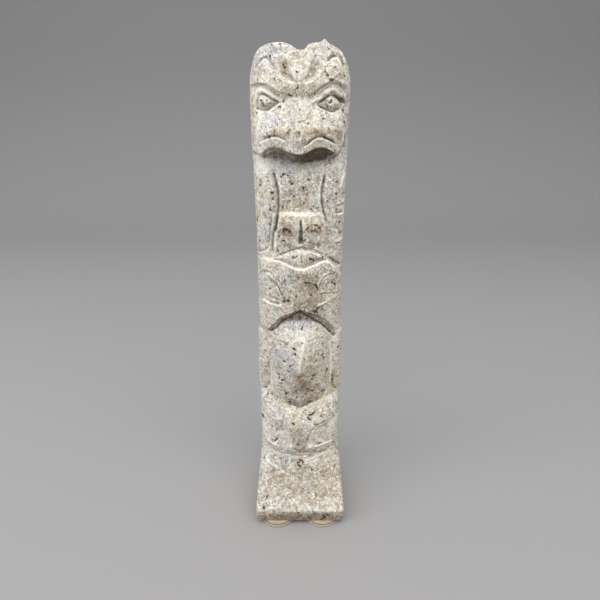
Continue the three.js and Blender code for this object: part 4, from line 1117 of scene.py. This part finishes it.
CREAM = srgb(223, 212, 192)
WHITE = srgb(228, 223, 210)
BRIGHT = srgb(255, 251, 238)
COOL = srgb(198, 199, 203)
WARM = srgb(222, 206, 178)
PINK = srgb(204, 178, 158)
GREY = srgb(164, 157, 146)
TAUPE = srgb(112, 102, 88)
SMOKE = srgb(92, 86, 80)
SOOT = srgb(36, 32, 31)
RUST = srgb(140, 104, 70)
PAINTED_SHADE_TONE = srgb(118, 108, 98)
STAIN_AND_SHADE = srgb(158, 140, 118)

TO_MM = (1000, 1000, 1000)
stone_material, stone_shader = coloured("speckled_stone", CREAM, 0.6)
tree = stone_material.node_tree
place = add(tree, "ShaderNodeTexCoord").outputs["Object"]
in_mm = add(tree, "ShaderNodeMapping", {"Vector": place, "Scale": TO_MM}).outputs[0]
slanted = add(tree, "ShaderNodeMapping", {
    "Vector": place, "Rotation": (0.3, 0.5, 0.2), "Scale": (1150, 1150, 760)}).outputs[0]

# Broad tones first: cream and white, then the warm and the cool stretches.
ground = paint(tree, soft_range(tree, cloud(tree, in_mm, 12, 3), 0.36, 0.64), CREAM, WHITE)
tint = sums(
    tree, "ADD", stored(tree, "tint"),
    soft_range(tree, cloud(tree, in_mm, 10, 3, 0.6, 31), 0.3, 0.7, -0.5, 0.5))
warm = sums(tree, "MULTIPLY", soft_range(tree, tint, 0.0, 0.9), 0.8)
ground = paint(tree, warm, ground, WARM)
cool = sums(tree, "MULTIPLY", soft_range(tree, tint, -0.05, -0.9), 0.75)
ground = paint(tree, cool, ground, COOL)
pink = soft_range(tree, cloud(tree, in_mm, 6, 4, 0.65, 47), 0.55, 0.72, 0, 0.6)
ground = paint(tree, pink, ground, PINK)

# The crystals: grey clouds, twisted taupe threads and clear white ones between them.
clotted = soft_range(tree, cloud(tree, in_mm, 8, 3, 0.6, 12), 0.36, 0.64)
pale = stored(tree, "pale")
muted = soft_range(tree, pale, 0.1, 1.0, 1.0, 0.6)
grey_share = sums(
    tree, "MULTIPLY", soft_range(tree, cloud(tree, in_mm, 3.6, 4, 0.7, 57), 0.48, 0.66, 0, 0.8), muted)
crystal = paint(tree, grey_share, ground, GREY)
chilly = soft_range(tree, cloud(tree, in_mm, 4.2, 3, 0.6, 91), 0.52, 0.68, 0, 0.45)
crystal = paint(tree, chilly, crystal, COOL)
threads = soft_range(tree, cloud(tree, slanted, 1.5, 3, 0.62, 83, 1.6), 0.53, 0.64)
thread_share = sums(tree, "MULTIPLY", threads, soft_range(tree, clotted, 0, 1, 0.35, 0.85))
crystal = paint(tree, sums(tree, "MULTIPLY", thread_share, muted), crystal, TAUPE)
clear = soft_range(tree, cloud(tree, in_mm, 2.0, 3, 0.6, 19, 0.8), 0.52, 0.66, 0, 0.6)
crystal = paint(tree, clear, crystal, BRIGHT)
grains_of = add(tree, "ShaderNodeTexVoronoi", {"Vector": in_mm, "Scale": 1.05})
each = add(tree, "ShaderNodeSeparateColor", {0: grains_of.outputs["Color"]}).outputs[0]
lit = soft_range(tree, each, 0, 1, 0.9, 1.1)
peppered = soft_range(tree, cloud(tree, in_mm, 1.1, 3, 0.7, 5), 0.38, 0.64, 1.2, 0.67)
lit = sums(tree, "MULTIPLY", lit, peppered)
crystal = paint(
    tree, 1.0, crystal, add(tree, "ShaderNodeCombineColor", {0: lit, 1: lit, 2: lit}).outputs[0], "MULTIPLY")

# Freshly cut stretches are paler, and handling has stained others. The same two maps also hold painted
# highlights where the stone faces the light, and painted shade where it is turned away or overhung.
ragged = cloud(tree, in_mm, 2.4, 4, 0.7, 71)
uneven = sums(tree, "ADD", pale, soft_range(tree, ragged, 0.3, 0.7, -0.35, 0.35))
crystal = paint(tree, soft_range(tree, uneven, 0.15, 1.1, 0, 0.72), crystal, BRIGHT)
dirt_and_shade = sums(tree, "ADD", stored(tree, "dirt_and_shade"), soft_range(tree, ragged, 0.3, 0.7, 0.25, -0.25))
crystal = paint(tree, soft_range(tree, dirt_and_shade, 0.05, 1.0, 0, 0.9), crystal, STAIN_AND_SHADE, "MULTIPLY")

# Flecks of two kinds, then the large dark grains with their rusty edges.
smoky = fleck_mask(tree, slanted, 1.3, soft_range(tree, clotted, 0, 1, 0.12, 0.4), 1.2)
crystal = paint(tree, sums(tree, "MULTIPLY", sums(tree, "MULTIPLY", smoky, 0.8), muted), crystal, SMOKE)
sooty = fleck_mask(tree, slanted, 2.0, soft_range(tree, clotted, 0, 1, 0.02, 0.14), 1.8)
crystal = paint(tree, sums(tree, "MULTIPLY", sooty, 0.85), crystal, SOOT)
frayed = soft_range(tree, cloud(tree, in_mm, 1.1, 3, 0.7, 7), 0.25, 0.75, -0.38, 0.38)
dark_grain = sums(tree, "ADD", stored(tree, "grains"), frayed)
crystal = paint(tree, soft_range(tree, dark_grain, 0.2, 0.8, 0, 0.55), crystal, RUST)
crystal = paint(tree, soft_range(tree, dark_grain, 0.5, 0.72, 0, 0.92), crystal, SOOT)
# Painted shade in the mouth, under the arch and the brow, and in the split.
painted_shade_depth = sums(tree, "ADD", stored(tree, "painted_shade"), soft_range(tree, ragged, 0.3, 0.7, 0.15, -0.15))
crystal = paint(tree, soft_range(tree, painted_shade_depth, 0.1, 0.9), crystal, PAINTED_SHADE_TONE, "MULTIPLY")
# Painted shade in the chisel cuts, then a painted highlight on their banks.
groove_shade_depth = sums(tree, "ADD", stored(tree, "groove_shade"), soft_range(tree, ragged, 0.3, 0.7, 0.1, -0.1))
crystal = paint(tree, soft_range(tree, groove_shade_depth, 0.1, 0.9, 0, 0.9), crystal, PAINTED_SHADE_TONE, "MULTIPLY")
crystal = paint(tree, soft_range(tree, stored(tree, "bank_highlight"), 0.1, 1, 0, 0.7), crystal, BRIGHT)
tree.links.new(crystal, stone_shader.inputs["Base Color"])

grit = cloud(tree, in_mm, 0.8, 3, 0.6, 7)
tree.links.new(soft_range(tree, grit, 0.3, 0.7, 0.5, 0.72), stone_shader.inputs["Roughness"])
pitted = sums(tree, "SUBTRACT", grit, sums(tree, "MULTIPLY", smoky, 0.5))
tooled = add(tree, "ShaderNodeBump", {"Height": pitted, "Strength": 0.4, "Distance": 0.0003})
tree.links.new(tooled.outputs["Normal"], stone_shader.inputs["Normal"])
stone_data.materials.append(stone_material)
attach(totem, "root")
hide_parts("totem")

# ======================================================================================
# The felt discs: four round stick-on pads under the slab, each a thick felt on a thin backing.
# The felt is beige, fuzzy at the rim and squeezed a little by the weight of the stone.
# ======================================================================================

PAD_RADIUS = 11.0
PAD_TOP = UNDERSIDE
PAD_STEPS = 96
RIM_WANDER = 0.16
BACKING = 0.8
PAD_SPOTS = (
    ("pad_front_left", -14.5, -19), ("pad_front_right", 14.5, -19),
    ("pad_back_left", -14.5, 18.5), ("pad_back_right", 14.5, 18.5))
FELT_LIGHT = srgb(228, 212, 190)
FELT_DARK = srgb(172, 153, 131)
GLUE_LINE = srgb(96, 82, 68)

felt, felt_shader = coloured("beige_felt", FELT_LIGHT, 0.95)
tree = felt.node_tree
in_mm = add(tree, "ShaderNodeMapping", {
    "Vector": add(tree, "ShaderNodeTexCoord").outputs["Object"], "Scale": TO_MM}).outputs[0]
fibres = cloud(tree, in_mm, 0.5, 4, 0.75, 3, 2.0)
matted = paint(tree, soft_range(tree, fibres, 0.35, 0.68), FELT_DARK, FELT_LIGHT)
matted = paint(tree, soft_range(tree, cloud(tree, in_mm, 4, 2, 0.5, 9), 0.4, 0.7, 0, 0.4), matted, FELT_DARK)
up_pad = add(tree, "ShaderNodeSeparateXYZ", {0: in_mm}).outputs[2]
seam = sums(tree, "ABSOLUTE", sums(tree, "SUBTRACT", up_pad, PAD_TOP - BACKING), 0)
matted = paint(tree, soft_range(tree, seam, 0.3, 0.08, 0, 0.85), matted, GLUE_LINE)
tree.links.new(matted, felt_shader.inputs["Base Color"])
tree.links.new(soft_range(tree, fibres, 0.3, 0.7, 0.85, 1.0), felt_shader.inputs["Roughness"])
fuzz = add(tree, "ShaderNodeBump", {"Height": fibres, "Strength": 0.8, "Distance": 0.0006})
tree.links.new(fuzz.outputs["Normal"], felt_shader.inputs["Normal"])
felt_shader.inputs["Sheen Weight"].default_value = 0.2

# A disc's side from the ground up: level, and how far it stands in from the full radius.
PAD_SIDE = (
    (0.0, 0.5), (0.1, 0.2), (0.35, 0.05), (0.9, 0.0), (1.4, 0.02), (1.85, 0.15), (2.05, 0.35), (2.2, 0.8),
    (2.35, 0.75), (2.45, 0.5), (2.75, 0.45), (PAD_TOP, 0.6))
for name, middle_x, middle_y in PAD_SPOTS:
    disc = bmesh.new()
    rings = []
    for height, inset in PAD_SIDE:
        ring = bmesh.ops.create_circle(disc, cap_ends=False, segments=PAD_STEPS, radius=1)["verts"]
        for vertex in ring:
            turn = math.atan2(vertex.co.y, vertex.co.x)
            frayed = RIM_WANDER * noise.noise(
                Vector((3 * math.cos(turn) + middle_x, 3 * math.sin(turn) + middle_y, height)))
            reach = PAD_RADIUS - inset - abs(frayed)
            vertex.co = (middle_x + reach * math.cos(turn), middle_y + reach * math.sin(turn), height)
        rings.append(ring)
    for lower, upper in zip(rings, rings[1:]):
        edges = {e for v in (*lower, *upper) for e in v.link_edges if len(e.link_faces) < 2}
        edges = [e for e in edges if all(v in lower for v in e.verts) or all(v in upper for v in e.verts)]
        bmesh.ops.bridge_loops(disc, edges=edges)
    bmesh.ops.holes_fill(disc, edges=disc.edges, sides=0)
    bmesh.ops.recalc_face_normals(disc, faces=disc.faces)
    bmesh.ops.scale(disc, vec=(MM, MM, MM), verts=disc.verts)
    pad_data = bpy.data.meshes.new(name.replace("pad", "felt"))
    disc.to_mesh(pad_data)
    disc.free()
    pad_data.shade_smooth()
    pad_data.materials.append(felt)
    pad = bpy.data.objects.new(pad_data.name, pad_data)
    bpy.context.collection.objects.link(pad)
    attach(pad, "root")
    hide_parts(name)
